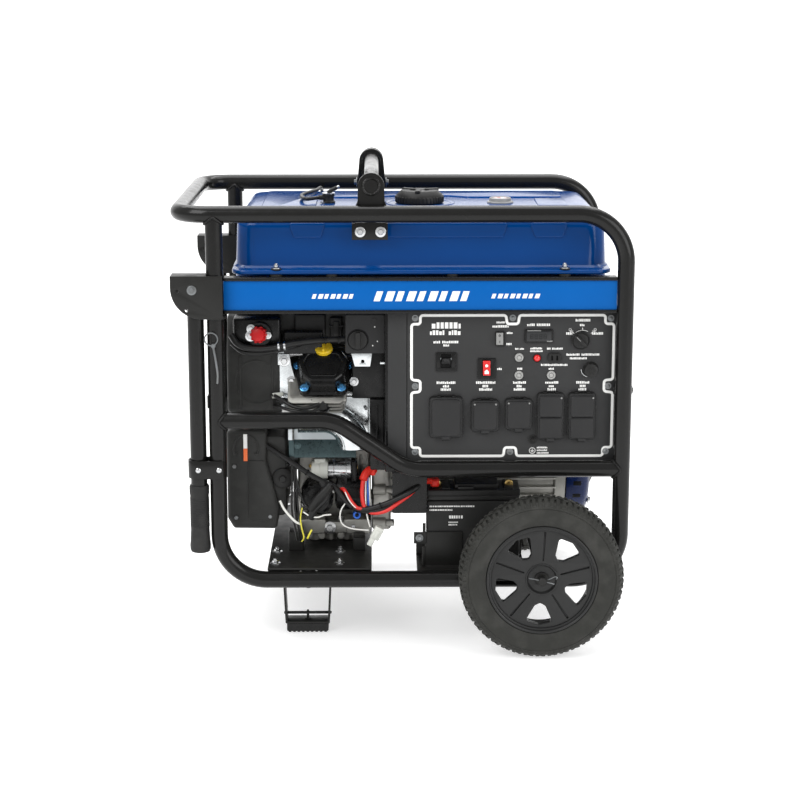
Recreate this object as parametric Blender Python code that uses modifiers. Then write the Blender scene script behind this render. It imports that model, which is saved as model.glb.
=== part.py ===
"""Portable generator on a tube frame, with two wheels and two folding handles.

Metres, +Z up, +X to the right of the control panel, -Y towards the user. The origin is on the floor,
under the middle of the frame. The engine stands at the left, its crankshaft along X, and drives the
alternator at the right.
"""
import math

import bmesh
import bpy
from mathutils import Matrix, Vector

# Frame
TUBE = 0.032                      # outer diameter of every frame tube
TUBE_R = TUBE / 2
FRAME_DEPTH = 0.570               # between the centre lines of the front and rear sides
SIDE_Y = FRAME_DEPTH / 2
FRAME_END_X = 0.417               # centre line of the left end of the loop and of the right tubes
POST_X = -0.348                   # centre line of the left posts
TOP_Z = 0.834                     # centre line of the top rails
BOTTOM_Z = 0.131                  # centre line of the bottom rails
CROSS_X = -0.180                  # centre line of the tube across the bottom, under the engine
BEND_R = 0.090                    # centre line radius of every bend
LOOP_CORNER_R = 0.060
LOOP_END_X = FRAME_END_X - BEND_R - 0.004    # where the top loop meets the side tubes
MID_RAIL_HIGH_Z = 0.444
MID_RAIL_LOW_Z = 0.349
MID_RAIL_DROP_X = -0.128          # where the mid rail starts to come down
MID_RAIL_FLAT_X = 0.010           # where it is level again
GAP = 0.0004                      # between pieces that touch

# Beams, tank and filler
BEAM_LOW_Z = 0.649
BEAM_HIGH_Z = 0.717
BEAM_FRONT_Y = -0.292
BEAM_BACK_Y = -0.2645
SHEET = 0.003                     # thickness of pressed steel
TANK_X = (-0.306, 0.380)
TANK_HALF_Y = 0.244
TANK_Z = (0.664, 0.822)
TANK_FLANGE_Z = (0.7205, 0.7285)
TANK_FLANGE_X = (-0.318, 0.392)
TANK_FLANGE_HALF_Y = 0.278
TANK_WALL = 0.004
CAP_X = 0.0385
CAP_R = 0.0485
CAP_TOP_Z = 0.848
NECK_R = 0.033
NECK_BORE_R = 0.024

# Lifting bar
LIFT_X = -0.057
LIFT_BAR_Z = 0.884
LIFT_BAR_R = 0.014
LIFT_TOP_Z = 0.930
LIFT_EYE_HALF = 0.024
EAR_Y = (-0.2680, -0.2630)
EAR_R = 0.0245                    # round top of each end plate
TAB_X = (-0.093, -0.026)          # bolted foot of each end plate
TAB_LOW_Z = 0.784

# Folding handles
HANDLE_PIVOT = (-0.389, 0.696)    # X and Z
HANDLE_ARM_X = -0.3848
HANDLE_ARM_R = 0.0155
HANDLE_GRIP_R = 0.0190
GRIP_Z = (0.188, 0.320)
CLIP_Z = (0.335, 0.370)
CHEEK_INNER = 0.0185              # half the width between a bracket's cheeks

# Wheels and feet
WHEEL_X = 0.262
TYRE_R = 0.1555
TYRE_WIDTH = 0.068
RIM_R = 0.1045
WHEEL_Y = 0.345                   # middle of a tyre
AXLE_R = 0.008
WHEEL_STEPS = 40
SPOKES = 5
FOOT_X = (-0.228, -0.141)
FOOT_Y = 0.195
FOOT_HALF_WIDTH = 0.020
FOOT_PAD_TOP = 0.018

# Engine and alternator, on one shaft
SHAFT_Z = 0.305
CRANKCASE_X = (-0.205, -0.060)
DECK_DISTANCE = 0.110             # crank axis to the foot of each cylinder
HEAD_DISTANCE = 0.285             # crank axis to the foot of each valve cover
COVER_DISTANCE = 0.325            # crank axis to the top of each valve cover
CYLINDER_FRONT_X = -0.163
CYLINDER_REAR_X = -0.135
CRADLE_TOP_Z = 0.153
ALTERNATOR_R = 0.118
ALTERNATOR_X = (-0.045, 0.330)
STATOR_X = (0.020, 0.260)
STATOR_R = 0.088
END_COVER_X = 0.378

# Control panel
PANEL_X = (0.010, 0.398)
PANEL_Z = (0.361, 0.647)
PANEL_FACE_Y = -0.268
PANEL_THICKNESS = 0.003
BOX_BACK_Y = -0.170
LID_BACK = 0.0030                 # clear space behind the outlet lids
LID_THICKNESS = 0.0120
LID_HINGE_DROP = 0.0040           # top edge of a lid to its hinge
OUTLET_LIDS = {                   # left, right, bottom and top
    "outlet_lid_50a": (0.053, 0.114, 0.408, 0.486),
    "outlet_lid_30a_twist": (0.132, 0.183, 0.420, 0.480),
    "outlet_lid_30a_single": (0.196, 0.246, 0.423, 0.482),
    "outlet_lid_duplex_left": (0.257, 0.306, 0.404, 0.493),
    "outlet_lid_duplex_right": (0.316, 0.366, 0.404, 0.493),
}
RESET_BUTTONS = {                 # X and Z
    "reset_button_dc": (0.221, 0.561),
    "reset_button_30a": (0.221, 0.527),
    "reset_button_20a": (0.282, 0.527),
}
BUTTON_R = 0.0044
BUTTON_BORE_R = 0.0052
BUTTON_PROUD = 0.0050
SWITCH_KNOB = (0.336, 0.594)
MAIN_BREAKER = (0.083, 0.555)
BREAKER_ROCKER = (0.1595, 0.542)
FUEL_SWITCH = (0.1835, 0.598)
ROCKER_TILT = 8                   # degrees from flat, at each end of a rocker's travel
TOGGLE_TILT = 20                  # degrees from level, at each end of the lever's travel

# Battery
BATTERY_X = (0.049, 0.230)
BATTERY_Y = (-0.220, -0.143)
BATTERY_Z = (0.1375, 0.290)

# Fuel selector dial beside the panel
DIAL_BOX_X = (-0.107, -0.030)
DIAL_BOX_Y = (-0.240, -0.190)
DIAL_BOX_Z = (0.563, 0.640)
DIAL_CENTRE = (-0.083, 0.590)
DIAL_R = 0.0185

PARTS = "portable_generator"
MATERIALS = {                     # colour, roughness and metallic
    "frame_black": ((0.016, 0.016, 0.017), 0.35, 0.0),
    "tank_blue": ((0.004, 0.042, 0.205), 0.18, 0.0),
    "beam_blue": ((0.004, 0.118, 0.375), 0.30, 0.0),
    "panel_grey": ((0.045, 0.045, 0.047), 0.45, 0.0),
    "plastic_black": ((0.018, 0.018, 0.019), 0.50, 0.0),
    "plastic_red": ((0.50, 0.012, 0.012), 0.40, 0.0),
    "plastic_grey": ((0.20, 0.20, 0.20), 0.45, 0.0),
    "rubber_black": ((0.022, 0.022, 0.022), 0.80, 0.0),
    "wheel_black": ((0.028, 0.028, 0.029), 0.50, 0.0),
    "cast_aluminium": ((0.55, 0.55, 0.54), 0.45, 1.0),
    "steel": ((0.58, 0.57, 0.55), 0.32, 1.0),
}


# --- Making and joining shapes -------------------------------------------------------------------

def clear_scene():
    """Removes everything that an empty file starts with."""
    for obj in list(bpy.data.objects):
        bpy.data.objects.remove(obj, do_unlink=True)
    for collection in list(bpy.data.collections):
        bpy.data.collections.remove(collection)


def make_materials():
    """One Principled material for each finish."""
    for name, (colour, roughness, metallic) in MATERIALS.items():
        material = bpy.data.materials.new(name)
        material.use_nodes = True
        shader = material.node_tree.nodes["Principled BSDF"]
        shader.inputs["Base Color"].default_value = (*colour, 1.0)
        shader.inputs["Roughness"].default_value = roughness
        shader.inputs["Metallic"].default_value = metallic


def bake(obj):
    """The plain, welded mesh that a curve or an object with modifiers makes, in world space."""
    bpy.context.view_layer.update()
    depsgraph = bpy.context.evaluated_depsgraph_get()
    mesh = bpy.data.meshes.new_from_object(obj.evaluated_get(depsgraph))
    mesh.transform(obj.matrix_world)
    shape = bmesh.new()
    shape.from_mesh(mesh)
    bmesh.ops.remove_doubles(shape, verts=shape.verts, dist=1e-6)
    bmesh.ops.recalc_face_normals(shape, faces=shape.faces)
    shape.to_mesh(mesh)
    shape.free()
    mesh.materials.clear()
    baked = bpy.data.objects.new(obj.name, mesh)
    bpy.context.scene.collection.objects.link(baked)
    bpy.data.objects.remove(obj, do_unlink=True)
    return baked


def combine(obj, others, operation):
    """Joins other shapes to an object, or cuts them from it, and removes them."""
    for other in others:
        modifier = obj.modifiers.new(operation, "BOOLEAN")
        modifier.operation = operation
        modifier.solver = "EXACT"
        modifier.object = other
    baked = bake(obj)
    for other in others:
        bpy.data.objects.remove(other, do_unlink=True)
    return baked


def joined(obj, *others):
    return combine(obj, others, "UNION")


def cut(obj, *cutters):
    return combine(obj, cutters, "DIFFERENCE")


def finish(obj, name, material, origin=(0.0, 0.0, 0.0)):
    """Names a finished piece, gives it its material and puts its origin on its joint's axis."""
    obj.data.transform(Matrix.Translation(-Vector(origin)))
    obj.location = origin
    obj.data.shade_smooth()
    obj.data.set_sharp_from_angle(angle=math.radians(32))
    obj.data.materials.append(bpy.data.materials[material])
    obj.name = name
    obj.data.name = name
    bpy.context.scene.collection.objects.unlink(obj)
    bpy.data.collections[PARTS].objects.link(obj)
    return obj


def box(low, high, bevel=0.0, segments=2):
    """A block between two corners, with rounded edges where bevel is given."""
    low = Vector(low)
    high = Vector(high)
    bpy.ops.mesh.primitive_cube_add(size=1.0, location=(low + high) / 2, scale=high - low)
    block = bpy.context.object
    bpy.ops.object.transform_apply(location=False, rotation=False, scale=True)
    if bevel:
        modifier = block.modifiers.new("Rounded", "BEVEL")
        modifier.width = bevel
        modifier.segments = segments
        modifier.limit_method = "NONE"
    return bake(block)


def rod(start, end, radius, sides=20):
    """A round bar between two points."""
    start = Vector(start)
    end = Vector(end)
    along = end - start
    bpy.ops.mesh.primitive_cylinder_add(vertices=sides, radius=radius, depth=along.length)
    bar = bpy.context.object
    bar.location = (start + end) / 2
    bar.rotation_euler = along.to_track_quat("Z", "Y").to_euler()
    return bake(bar)


def turned(profile, origin, axis, steps=32, closed=False):
    """A turned shape from (radius, height) points, its heights measured from origin along axis."""
    mesh = bpy.data.meshes.new("profile")
    corners = [(radius, 0.0, height) for radius, height in profile]
    edges = [(i, i + 1) for i in range(len(corners) - 1)]
    if closed:
        edges.append((len(corners) - 1, 0))
    mesh.from_pydata(corners, edges, [])
    shape = bpy.data.objects.new("turned", mesh)
    bpy.context.scene.collection.objects.link(shape)
    screw = shape.modifiers.new("Turned", "SCREW")
    screw.steps = steps
    screw.render_steps = steps
    screw.use_merge_vertices = True
    screw.merge_threshold = 0.0001
    shape.location = origin
    shape.rotation_euler = Vector(axis).to_track_quat("Z", "Y").to_euler()
    return bake(shape)


def rounded(points, radius, steps=5, closed=False):
    """A line through points, in two or three dimensions, with each corner turned into an arc."""
    points = [Vector(point) for point in points]
    count = len(points)
    path = []
    for i, corner in enumerate(points):
        if not closed and i in (0, count - 1):
            path.append(corner)
            continue
        back = (points[i - 1] - corner).normalized()
        ahead = (points[(i + 1) % count] - corner).normalized()
        half = back.angle(ahead) / 2
        centre = corner + (back + ahead).normalized() * radius / math.sin(half)
        first = corner + back * radius / math.tan(half) - centre
        last = corner + ahead * radius / math.tan(half) - centre
        sweep = first.angle(last)
        for step in range(steps + 1):
            share = step / steps
            blend = first * math.sin((1 - share) * sweep) + last * math.sin(share * sweep)
            path.append(centre + blend / math.sin(sweep))
    return path


def circle(centre, radius, sides=24, start=0.0):
    turns = [start + 2 * math.pi * i / sides for i in range(sides)]
    return [(centre[0] + radius * math.cos(t), centre[1] + radius * math.sin(t)) for t in turns]


def curve_object(kind):
    curve = bpy.data.curves.new("curve", "CURVE")
    curve.dimensions = kind
    obj = bpy.data.objects.new("curve", curve)
    bpy.context.scene.collection.objects.link(obj)
    return obj


def add_line(curve, points, closed):
    line = curve.splines.new("POLY")
    line.points.add(len(points) - 1)
    for place, point in zip(line.points, points):
        place.co = (*point, 1.0) if len(point) == 3 else (*point, 0.0, 1.0)
    line.use_cyclic_u = closed


def pipe(points, radius, resolution=4):
    """A round tube along a path, with flat ends."""
    obj = curve_object("3D")
    obj.data.bevel_depth = radius
    obj.data.bevel_resolution = resolution
    obj.data.use_fill_caps = True
    add_line(obj.data, points, False)
    return bake(obj)


FACING = {                        # local X and Y of an outline lie along these axes
    "x": (math.pi / 2, 0.0, math.pi / 2),    # Y and Z
    "y": (math.pi / 2, 0.0, 0.0),            # X and Z
    "z": (0.0, 0.0, 0.0),                    # X and Y
}


def plate(outline, low, high, facing, holes=()):
    """A flat outline with holes, filled between two places along the axis that it faces."""
    obj = curve_object("2D")
    obj.data.fill_mode = "BOTH"
    obj.data.extrude = (high - low) / 2
    add_line(obj.data, outline, True)
    for hole in holes:
        add_line(obj.data, hole, True)
    obj.rotation_euler = FACING[facing]
    obj.location["xyz".index(facing)] = (low + high) / 2
    return bake(obj)


def rectangle(low_x, high_x, low_y, high_y):
    return [(low_x, low_y), (high_x, low_y), (high_x, high_y), (low_x, high_y)]


# --- Frame ---------------------------------------------------------------------------------------

def top_loop():
    """The two top rails and the tube across their left end, as far as the right-hand bends."""
    right = LOOP_END_X - GAP
    path = [(right, -SIDE_Y, TOP_Z), (-FRAME_END_X, -SIDE_Y, TOP_Z),
            (-FRAME_END_X, SIDE_Y, TOP_Z), (right, SIDE_Y, TOP_Z)]
    finish(pipe(rounded(path, LOOP_CORNER_R, 6), TUBE_R), "frame_top_loop", "frame_black")


def side_tube(y, name):
    """One side: down from the top rail at the right, along the floor side, and up the left post."""
    path = [(LOOP_END_X, y, TOP_Z), (FRAME_END_X, y, TOP_Z), (FRAME_END_X, y, BOTTOM_Z),
            (POST_X, y, BOTTOM_Z), (POST_X, y, TOP_Z - TUBE_R - GAP)]
    finish(pipe(rounded(path, BEND_R, 6), TUBE_R), name, "frame_black")


def mid_rail(y, name):
    """The rail across one side, which drops below the control panel."""
    left = POST_X + TUBE_R + GAP
    right = FRAME_END_X - TUBE_R - GAP
    path = [(left, y, MID_RAIL_HIGH_Z), (MID_RAIL_DROP_X, y, MID_RAIL_HIGH_Z),
            (MID_RAIL_FLAT_X, y, MID_RAIL_LOW_Z), (right, y, MID_RAIL_LOW_Z)]
    finish(pipe(rounded(path, BEND_R, 4), TUBE_R), name, "frame_black")


def cross_tube(x, z, name):
    reach = SIDE_Y - TUBE_R - GAP
    finish(pipe([(x, -reach, z), (x, reach, z)], TUBE_R), name, "frame_black")


def beam(side, name):
    """The deep channel that carries the tank, open towards the middle."""
    front = abs(BEAM_FRONT_Y)
    back = abs(BEAM_BACK_Y)
    web = front - 0.004
    lip = 0.0075
    outline = [(back, BEAM_LOW_Z), (front, BEAM_LOW_Z), (front, BEAM_LOW_Z + lip),
               (web, BEAM_LOW_Z + lip), (web, BEAM_HIGH_Z - lip), (front, BEAM_HIGH_Z - lip),
               (front, BEAM_HIGH_Z), (back, BEAM_HIGH_Z), (back, BEAM_HIGH_Z - SHEET),
               (web - SHEET, BEAM_HIGH_Z - SHEET), (web - SHEET, BEAM_LOW_Z + SHEET),
               (back, BEAM_LOW_Z + SHEET)]
    outline = [(side * y, z) for y, z in outline]
    left = POST_X + TUBE_R + GAP
    right = FRAME_END_X - TUBE_R - GAP
    finish(plate(outline, left, right, "x"), name, "beam_blue")


def lift_bar():
    """The tube over the tank and the plates that bolt its ends to the top rails."""
    bar = rod((LIFT_X, EAR_Y[0] - 0.002, LIFT_BAR_Z), (LIFT_X, 0.002 - EAR_Y[0], LIFT_BAR_Z), LIFT_BAR_R)
    turns = [math.pi * i / 12 for i in range(13)]
    outline = [(LIFT_X + EAR_R * math.cos(t), LIFT_BAR_Z + EAR_R * math.sin(t)) for t in turns]
    outline += [(LIFT_X - EAR_R - 0.002, TOP_Z - TUBE_R - 0.002)]
    outline += [(TAB_X[0], TOP_Z - TUBE_R - 0.004), (TAB_X[0], TAB_LOW_Z), (TAB_X[1], TAB_LOW_Z)]
    outline += [(TAB_X[1], TOP_Z - TUBE_R - 0.004), (LIFT_X + EAR_R + 0.002, TOP_Z - TUBE_R - 0.002)]
    front = plate(outline, EAR_Y[0], EAR_Y[1], "y")
    rear = plate(outline, -EAR_Y[1], -EAR_Y[0], "y")
    finish(joined(bar, front, rear), "lift_bar", "frame_black")


def lift_eye():
    """The bent strap over the lifting bar, with the bolt that closes it under the bar."""
    strap = 0.006
    half_width = 0.008
    top = LIFT_TOP_Z - LIFT_EYE_HALF
    low = LIFT_BAR_Z - LIFT_BAR_R - 0.014
    turns = [math.pi * i / 10 for i in range(11)]
    inner = LIFT_EYE_HALF - strap
    outline = [(LIFT_X + LIFT_EYE_HALF, low)]
    outline += [(LIFT_X + LIFT_EYE_HALF * math.cos(t), top + LIFT_EYE_HALF * math.sin(t)) for t in turns]
    outline += [(LIFT_X - LIFT_EYE_HALF, low), (LIFT_X - inner, low)]
    outline += [(LIFT_X - inner * math.cos(t), top + inner * math.sin(t)) for t in turns]
    outline += [(LIFT_X + inner, low)]
    bent = plate(outline, -half_width, half_width, "y")
    bolt_z = LIFT_BAR_Z - LIFT_BAR_R - 0.0065
    bolt = rod((LIFT_X - 0.028, 0.0, bolt_z), (LIFT_X + 0.028, 0.0, bolt_z), 0.0045, 12)
    finish(joined(bent, bolt), "lift_eye", "frame_black")


def cradles():
    """The pressed plates between the bottom rails that carry the engine and the alternator."""
    low = CRADLE_TOP_Z - 0.005
    half_y = 0.283
    left, right = -0.258, -0.058
    base = box((left, -half_y, low), (right, half_y, CRADLE_TOP_Z))
    inner = SIDE_Y - TUBE_R - GAP
    web = box((left, -inner + 0.002, 0.119), (left + 0.004, inner - 0.002, 0.150))
    parts = [base, web]
    clear = TUBE_R + 2 * GAP
    for start, end in ((left, CROSS_X - clear), (CROSS_X + clear, right)):
        parts.append(box((start, -inner, 0.119), (end, -inner + 0.004, 0.150)))
        parts.append(box((start, inner - 0.004, 0.119), (end, inner, 0.150)))
    finish(joined(*parts), "engine_cradle", "frame_black")
    left, right = 0.178, 0.246
    near = -0.1355
    base = box((left, near, low), (right, inner, CRADLE_TOP_Z))
    saddle = box((left + 0.010, -0.050, low), (left + 0.035, 0.050, SHAFT_Z - ALTERNATOR_R - GAP), 0.003)
    rib = box((left, near, 0.120), (left + 0.004, inner, 0.150))
    finish(joined(base, saddle, rib), "alternator_cradle", "frame_black")


def foot(side, place):
    """A bent strap under the engine cradle, and the rubber pad below it."""
    left, right = FOOT_X
    y = side * FOOT_Y
    near, far = y - FOOT_HALF_WIDTH, y + FOOT_HALF_WIDTH
    top = CRADLE_TOP_Z - 0.005 - GAP
    strap = 0.004
    lean = 0.006
    low = FOOT_PAD_TOP
    outline = [(left - lean, top), (left, low), (right, low), (right + lean, top),
               (right + lean - strap, top), (right - strap, low + strap),
               (left + strap, low + strap), (left - lean + strap, top)]
    bracket = plate(outline, near, far, "y")
    bar_z = low + 0.020
    bar = box((left + 0.002, y - 0.004, bar_z), (right - 0.002, y + 0.004, bar_z + 0.005))
    finish(joined(bracket, bar), f"foot_bracket_{place}", "frame_black")
    pad = box((left + 0.004, near + 0.002, 0.0), (right - 0.004, far - 0.002, low - GAP), 0.003)
    finish(pad, f"foot_pad_{place}", "rubber_black")


# --- Folding handles -----------------------------------------------------------------------------

def handle(side, place):
    """A bracket on the left post, an arm that hangs in it, its clip, and its grip."""
    y = side * SIDE_Y
    pivot_x, pivot_z = HANDLE_PIVOT
    origin = (pivot_x, y, pivot_z)
    finish(handle_bracket(y), f"handle_bracket_{place}", "frame_black")
    finish(handle_arm(y), f"handle_arm_{place}", "frame_black", origin)
    finish(handle_grip(y), f"handle_grip_{place}", "rubber_black", origin)


def handle_bracket(y):
    left, right = -0.429, POST_X + TUBE_R - 0.0002
    low, high = 0.641, 0.722
    outline = [(right, low), (right, high), (left, high)]
    turns = [math.pi / 2 * i / 6 for i in range(7)]
    round_r = high - low - 0.022
    corner = (left + round_r, low + round_r)
    outline += [(corner[0] - round_r * math.cos(t), corner[1] - round_r * math.sin(t)) for t in turns]
    cheek = CHEEK_INNER + SHEET
    front = plate(outline, y - cheek, y - CHEEK_INNER, "y")
    back = plate(outline, y + CHEEK_INNER, y + cheek, "y")
    flange_end = POST_X - TUBE_R - GAP
    flange = box((left, y - cheek + 0.001, high - SHEET), (flange_end, y + cheek - 0.001, high))
    pivot_x, pivot_z = HANDLE_PIVOT
    reach = cheek + 0.006
    bolt = rod((pivot_x, y - reach, pivot_z), (pivot_x, y + reach, pivot_z), 0.005, 12)
    return joined(front, back, flange, bolt)


def handle_arm(y):
    pivot_x, pivot_z = HANDLE_PIVOT
    top = pivot_z + 0.010
    tube = pipe([(HANDLE_ARM_X, y, top), (HANDLE_ARM_X, y, GRIP_Z[0] + 0.006)], HANDLE_ARM_R)
    bore = rod((pivot_x, y - 0.03, pivot_z), (pivot_x, y + 0.03, pivot_z), 0.0056, 16)
    tube = cut(tube, bore)
    inner, outer = 0.0175, 0.0200
    open_x = -0.337
    turns = [math.pi / 2 + math.pi * i / 10 for i in range(11)]
    outline = [(open_x, outer)]
    outline += [(HANDLE_ARM_X + outer * math.cos(t), outer * math.sin(t)) for t in turns]
    outline += [(open_x, -outer), (open_x, -inner)]
    outline += [(HANDLE_ARM_X + inner * math.cos(t), -inner * math.sin(t)) for t in turns]
    outline += [(open_x, inner)]
    outline = [(x, y + across) for x, across in outline]
    clip = plate(outline, CLIP_Z[0], CLIP_Z[1], "z")
    rivet_z = sum(CLIP_Z) / 2
    rivet = rod((HANDLE_ARM_X, y - 0.022, rivet_z), (HANDLE_ARM_X, y + 0.022, rivet_z), 0.004, 12)
    return joined(tube, clip, rivet)


def handle_grip(y):
    """A sleeve with a closed lower end, over the foot of the arm."""
    low, high = GRIP_Z
    bore = HANDLE_ARM_R + 0.0003
    profile = [(bore, high), (HANDLE_GRIP_R - 0.001, high), (HANDLE_GRIP_R, high - 0.002),
               (HANDLE_GRIP_R, low + 0.004), (HANDLE_GRIP_R - 0.004, low), (0.0, low),
               (0.0, low + 0.005), (bore, low + 0.005)]
    return turned(profile, (HANDLE_ARM_X, y, 0.0), (0, 0, 1), 24, closed=True)


# --- Wheels --------------------------------------------------------------------------------------

def axle():
    """The rod through both wheels, with the blocks that sit on the bottom rails."""
    reach = WHEEL_Y + TYRE_WIDTH / 2 + 0.008
    bar = rod((WHEEL_X, -reach, TYRE_R), (WHEEL_X, reach, TYRE_R), AXLE_R)
    low = BOTTOM_Z + TUBE_R + GAP
    blocks = [box((WHEEL_X - 0.016, y - 0.012, low), (WHEEL_X + 0.016, y + 0.012, TYRE_R + 0.013), 0.002)
              for y in (-SIDE_Y, SIDE_Y)]
    finish(joined(bar, *blocks), "axle", "steel")


def wheel(side, place):
    """A moulded wheel with five spokes, and its tyre. Heights run outwards along the axle."""
    centre = (WHEEL_X, side * WHEEL_Y, TYRE_R)
    outwards = (0, side, 0)
    half = TYRE_WIDTH / 2
    bead = RIM_R + 0.0005
    tyre = [(bead, half - 0.006), (bead + 0.010, half - 0.001), (TYRE_R - 0.022, half),
            (TYRE_R - 0.006, half - 0.006), (TYRE_R, half - 0.020), (TYRE_R, 0.020 - half),
            (TYRE_R - 0.006, 0.006 - half), (TYRE_R - 0.022, -half), (bead + 0.010, 0.001 - half),
            (bead, 0.006 - half)]
    finish(turned(tyre, centre, outwards, WHEEL_STEPS, closed=True), f"tyre_{place}", "rubber_black", centre)
    wall = 0.008
    barrel = [(RIM_R - wall, half - 0.004), (RIM_R, half - 0.004), (RIM_R, 0.006 - half),
              (RIM_R - wall, 0.006 - half)]
    hub = [(AXLE_R + 0.0006, half - 0.002), (0.024, half - 0.002), (0.028, half - 0.014),
           (0.028, 0.004 - half), (AXLE_R + 0.0006, 0.004 - half)]
    ring = turned(barrel, centre, outwards, WHEEL_STEPS, closed=True)
    middle = turned(hub, centre, outwards, 24, closed=True)
    face_low = half - 0.022
    face_high = half - 0.010
    face = wheel_face(centre, side * face_low, side * face_high)
    finish(joined(ring, face, middle), f"wheel_rim_{place}", "wheel_black", centre)


def wheel_face(centre, low, high):
    """The spoked disc: a round plate with a window between each two spokes."""
    start = math.radians(88)
    windows = []
    for i in range(SPOKES):
        middle = start + math.pi / SPOKES + 2 * math.pi * i / SPOKES
        corners = [(0.084, -0.38), (0.088, 0.0), (0.084, 0.38), (0.045, 0.12), (0.045, -0.12)]
        window = [(centre[0] + r * math.cos(middle + a), centre[2] + r * math.sin(middle + a))
                  for r, a in corners]
        windows.append(rounded(window, 0.005, 2, closed=True))
    windows.append(circle((centre[0], centre[2]), 0.018, 16))
    outline = circle((centre[0], centre[2]), RIM_R - 0.003, WHEEL_STEPS)
    low, high = sorted((centre[1] + low, centre[1] + high))
    return plate(outline, low, high, "y", windows)


# --- Tank ----------------------------------------------------------------------------------------

def tank_block(inset):
    """The tank's rounded body, smaller all round by inset, and drawn in towards its top."""
    low = Vector((TANK_X[0] + inset, inset - TANK_HALF_Y, TANK_Z[0] + inset))
    high = Vector((TANK_X[1] - inset, TANK_HALF_Y - inset, TANK_Z[1] - inset))
    block = box(low, high, 0.030 - inset, 4)
    middle_x = sum(TANK_X) / 2
    height = TANK_Z[1] - TANK_Z[0]
    for vertex in block.data.vertices:
        share = (vertex.co.z - TANK_Z[0]) / height
        vertex.co.x = middle_x + (vertex.co.x - middle_x) * (1 - 0.03 * share)
        vertex.co.y *= 1 - 0.07 * share
    return block


def fuel_tank():
    """A hollow tank with a flange round its waist and an open filler neck."""
    corner = rounded(rectangle(*TANK_FLANGE_X, -TANK_FLANGE_HALF_Y, TANK_FLANGE_HALF_Y), 0.02, 3, closed=True)
    flange = plate(corner, *TANK_FLANGE_Z, "z")
    top = TANK_Z[1]
    neck = rod((CAP_X, 0, top - 0.012), (CAP_X, 0, top + 0.014), NECK_R, 24)
    tank = joined(tank_block(0.0), flange, neck)
    bore = rod((CAP_X, 0, top - 0.030), (CAP_X, 0, top + 0.030), NECK_BORE_R, 24)
    finish(cut(tank, tank_block(TANK_WALL), bore), "fuel_tank", "tank_blue")


def fuel_cap():
    """A broad cap that turns on the neck."""
    low = TANK_Z[1] + 0.0015
    inside = NECK_R + 0.001
    profile = [(0.0, CAP_TOP_Z), (CAP_R - 0.016, CAP_TOP_Z), (CAP_R - 0.004, CAP_TOP_Z - 0.003),
               (CAP_R, CAP_TOP_Z - 0.008), (CAP_R, low), (inside, low), (inside, TANK_Z[1] + 0.016),
               (0.0, TANK_Z[1] + 0.016)]
    cap = turned(profile, (CAP_X, 0, 0), (0, 0, 1), 32)
    finish(cap, "fuel_cap", "plastic_black", (CAP_X, 0, CAP_TOP_Z))


# --- Control panel -------------------------------------------------------------------------------

def control_box():
    """An open-fronted steel box behind the panel."""
    low = (PANEL_X[0] + 0.004, PANEL_FACE_Y + PANEL_THICKNESS + GAP, PANEL_Z[0] + 0.004)
    high = (PANEL_X[1] - 0.004, BOX_BACK_Y, PANEL_Z[1] - 0.004)
    outer = box(low, high, 0.004, 1)
    hollow = box((low[0] + SHEET, low[1] - 0.01, low[2] + SHEET),
                 (high[0] - SHEET, high[1] - SHEET, high[2] - SHEET))
    finish(cut(outer, hollow), "control_box", "frame_black")


def control_panel():
    """The front plate, with a bore behind each reset button."""
    outline = rounded(rectangle(*PANEL_X, *PANEL_Z), 0.006, 3, closed=True)
    bores = [circle(place, BUTTON_BORE_R, 12) for place in RESET_BUTTONS.values()]
    panel = plate(outline, PANEL_FACE_Y, PANEL_FACE_Y + PANEL_THICKNESS, "y", bores)
    finish(panel, "control_panel", "panel_grey")


def outlet_lids():
    """Sprung lids over the outlets, each on a hinge near its top edge."""
    back = PANEL_FACE_Y - LID_BACK
    for name, (left, right, low, high) in OUTLET_LIDS.items():
        lid = box((left, back - LID_THICKNESS, low), (right, back, high), 0.004, 2)
        tab = box(((left + right) / 2 - 0.006, back - 0.010, low - 0.004),
                  ((left + right) / 2 + 0.006, back - 0.005, low + 0.006))
        hinge = ((left + right) / 2, back - 0.004, high - LID_HINGE_DROP)
        finish(joined(lid, tab), name, "plastic_black", hinge)


def rocker(name, place, width, height, stand_off, material):
    """A switch rocker that tilts about its middle, at rest with its top pressed in."""
    x, z = place
    y = PANEL_FACE_Y - stand_off
    body = box((-width / 2, -0.003, -height / 2), (width / 2, 0.003, height / 2), 0.001, 1)
    body.rotation_euler = (math.radians(-ROCKER_TILT), 0.0, 0.0)
    body.location = (x, y, z)
    finish(bake(body), name, material, (x, y, z))


def breaker_toggle():
    """The main breaker's lever, on its pivot bar, at rest tipped up."""
    x, z = MAIN_BREAKER
    y = PANEL_FACE_Y - 0.0065
    bar = rod((x - 0.008, y, z), (x + 0.008, y, z), 0.005, 16)
    lever = box((-0.005, -0.014, -0.003), (0.005, 0.0, 0.003), 0.001, 1)
    lever.rotation_euler = (math.radians(-TOGGLE_TILT), 0.0, 0.0)
    lever.location = (x, y, z)
    finish(joined(bar, bake(lever)), "main_breaker_toggle", "plastic_black", (x, y, z))


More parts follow.
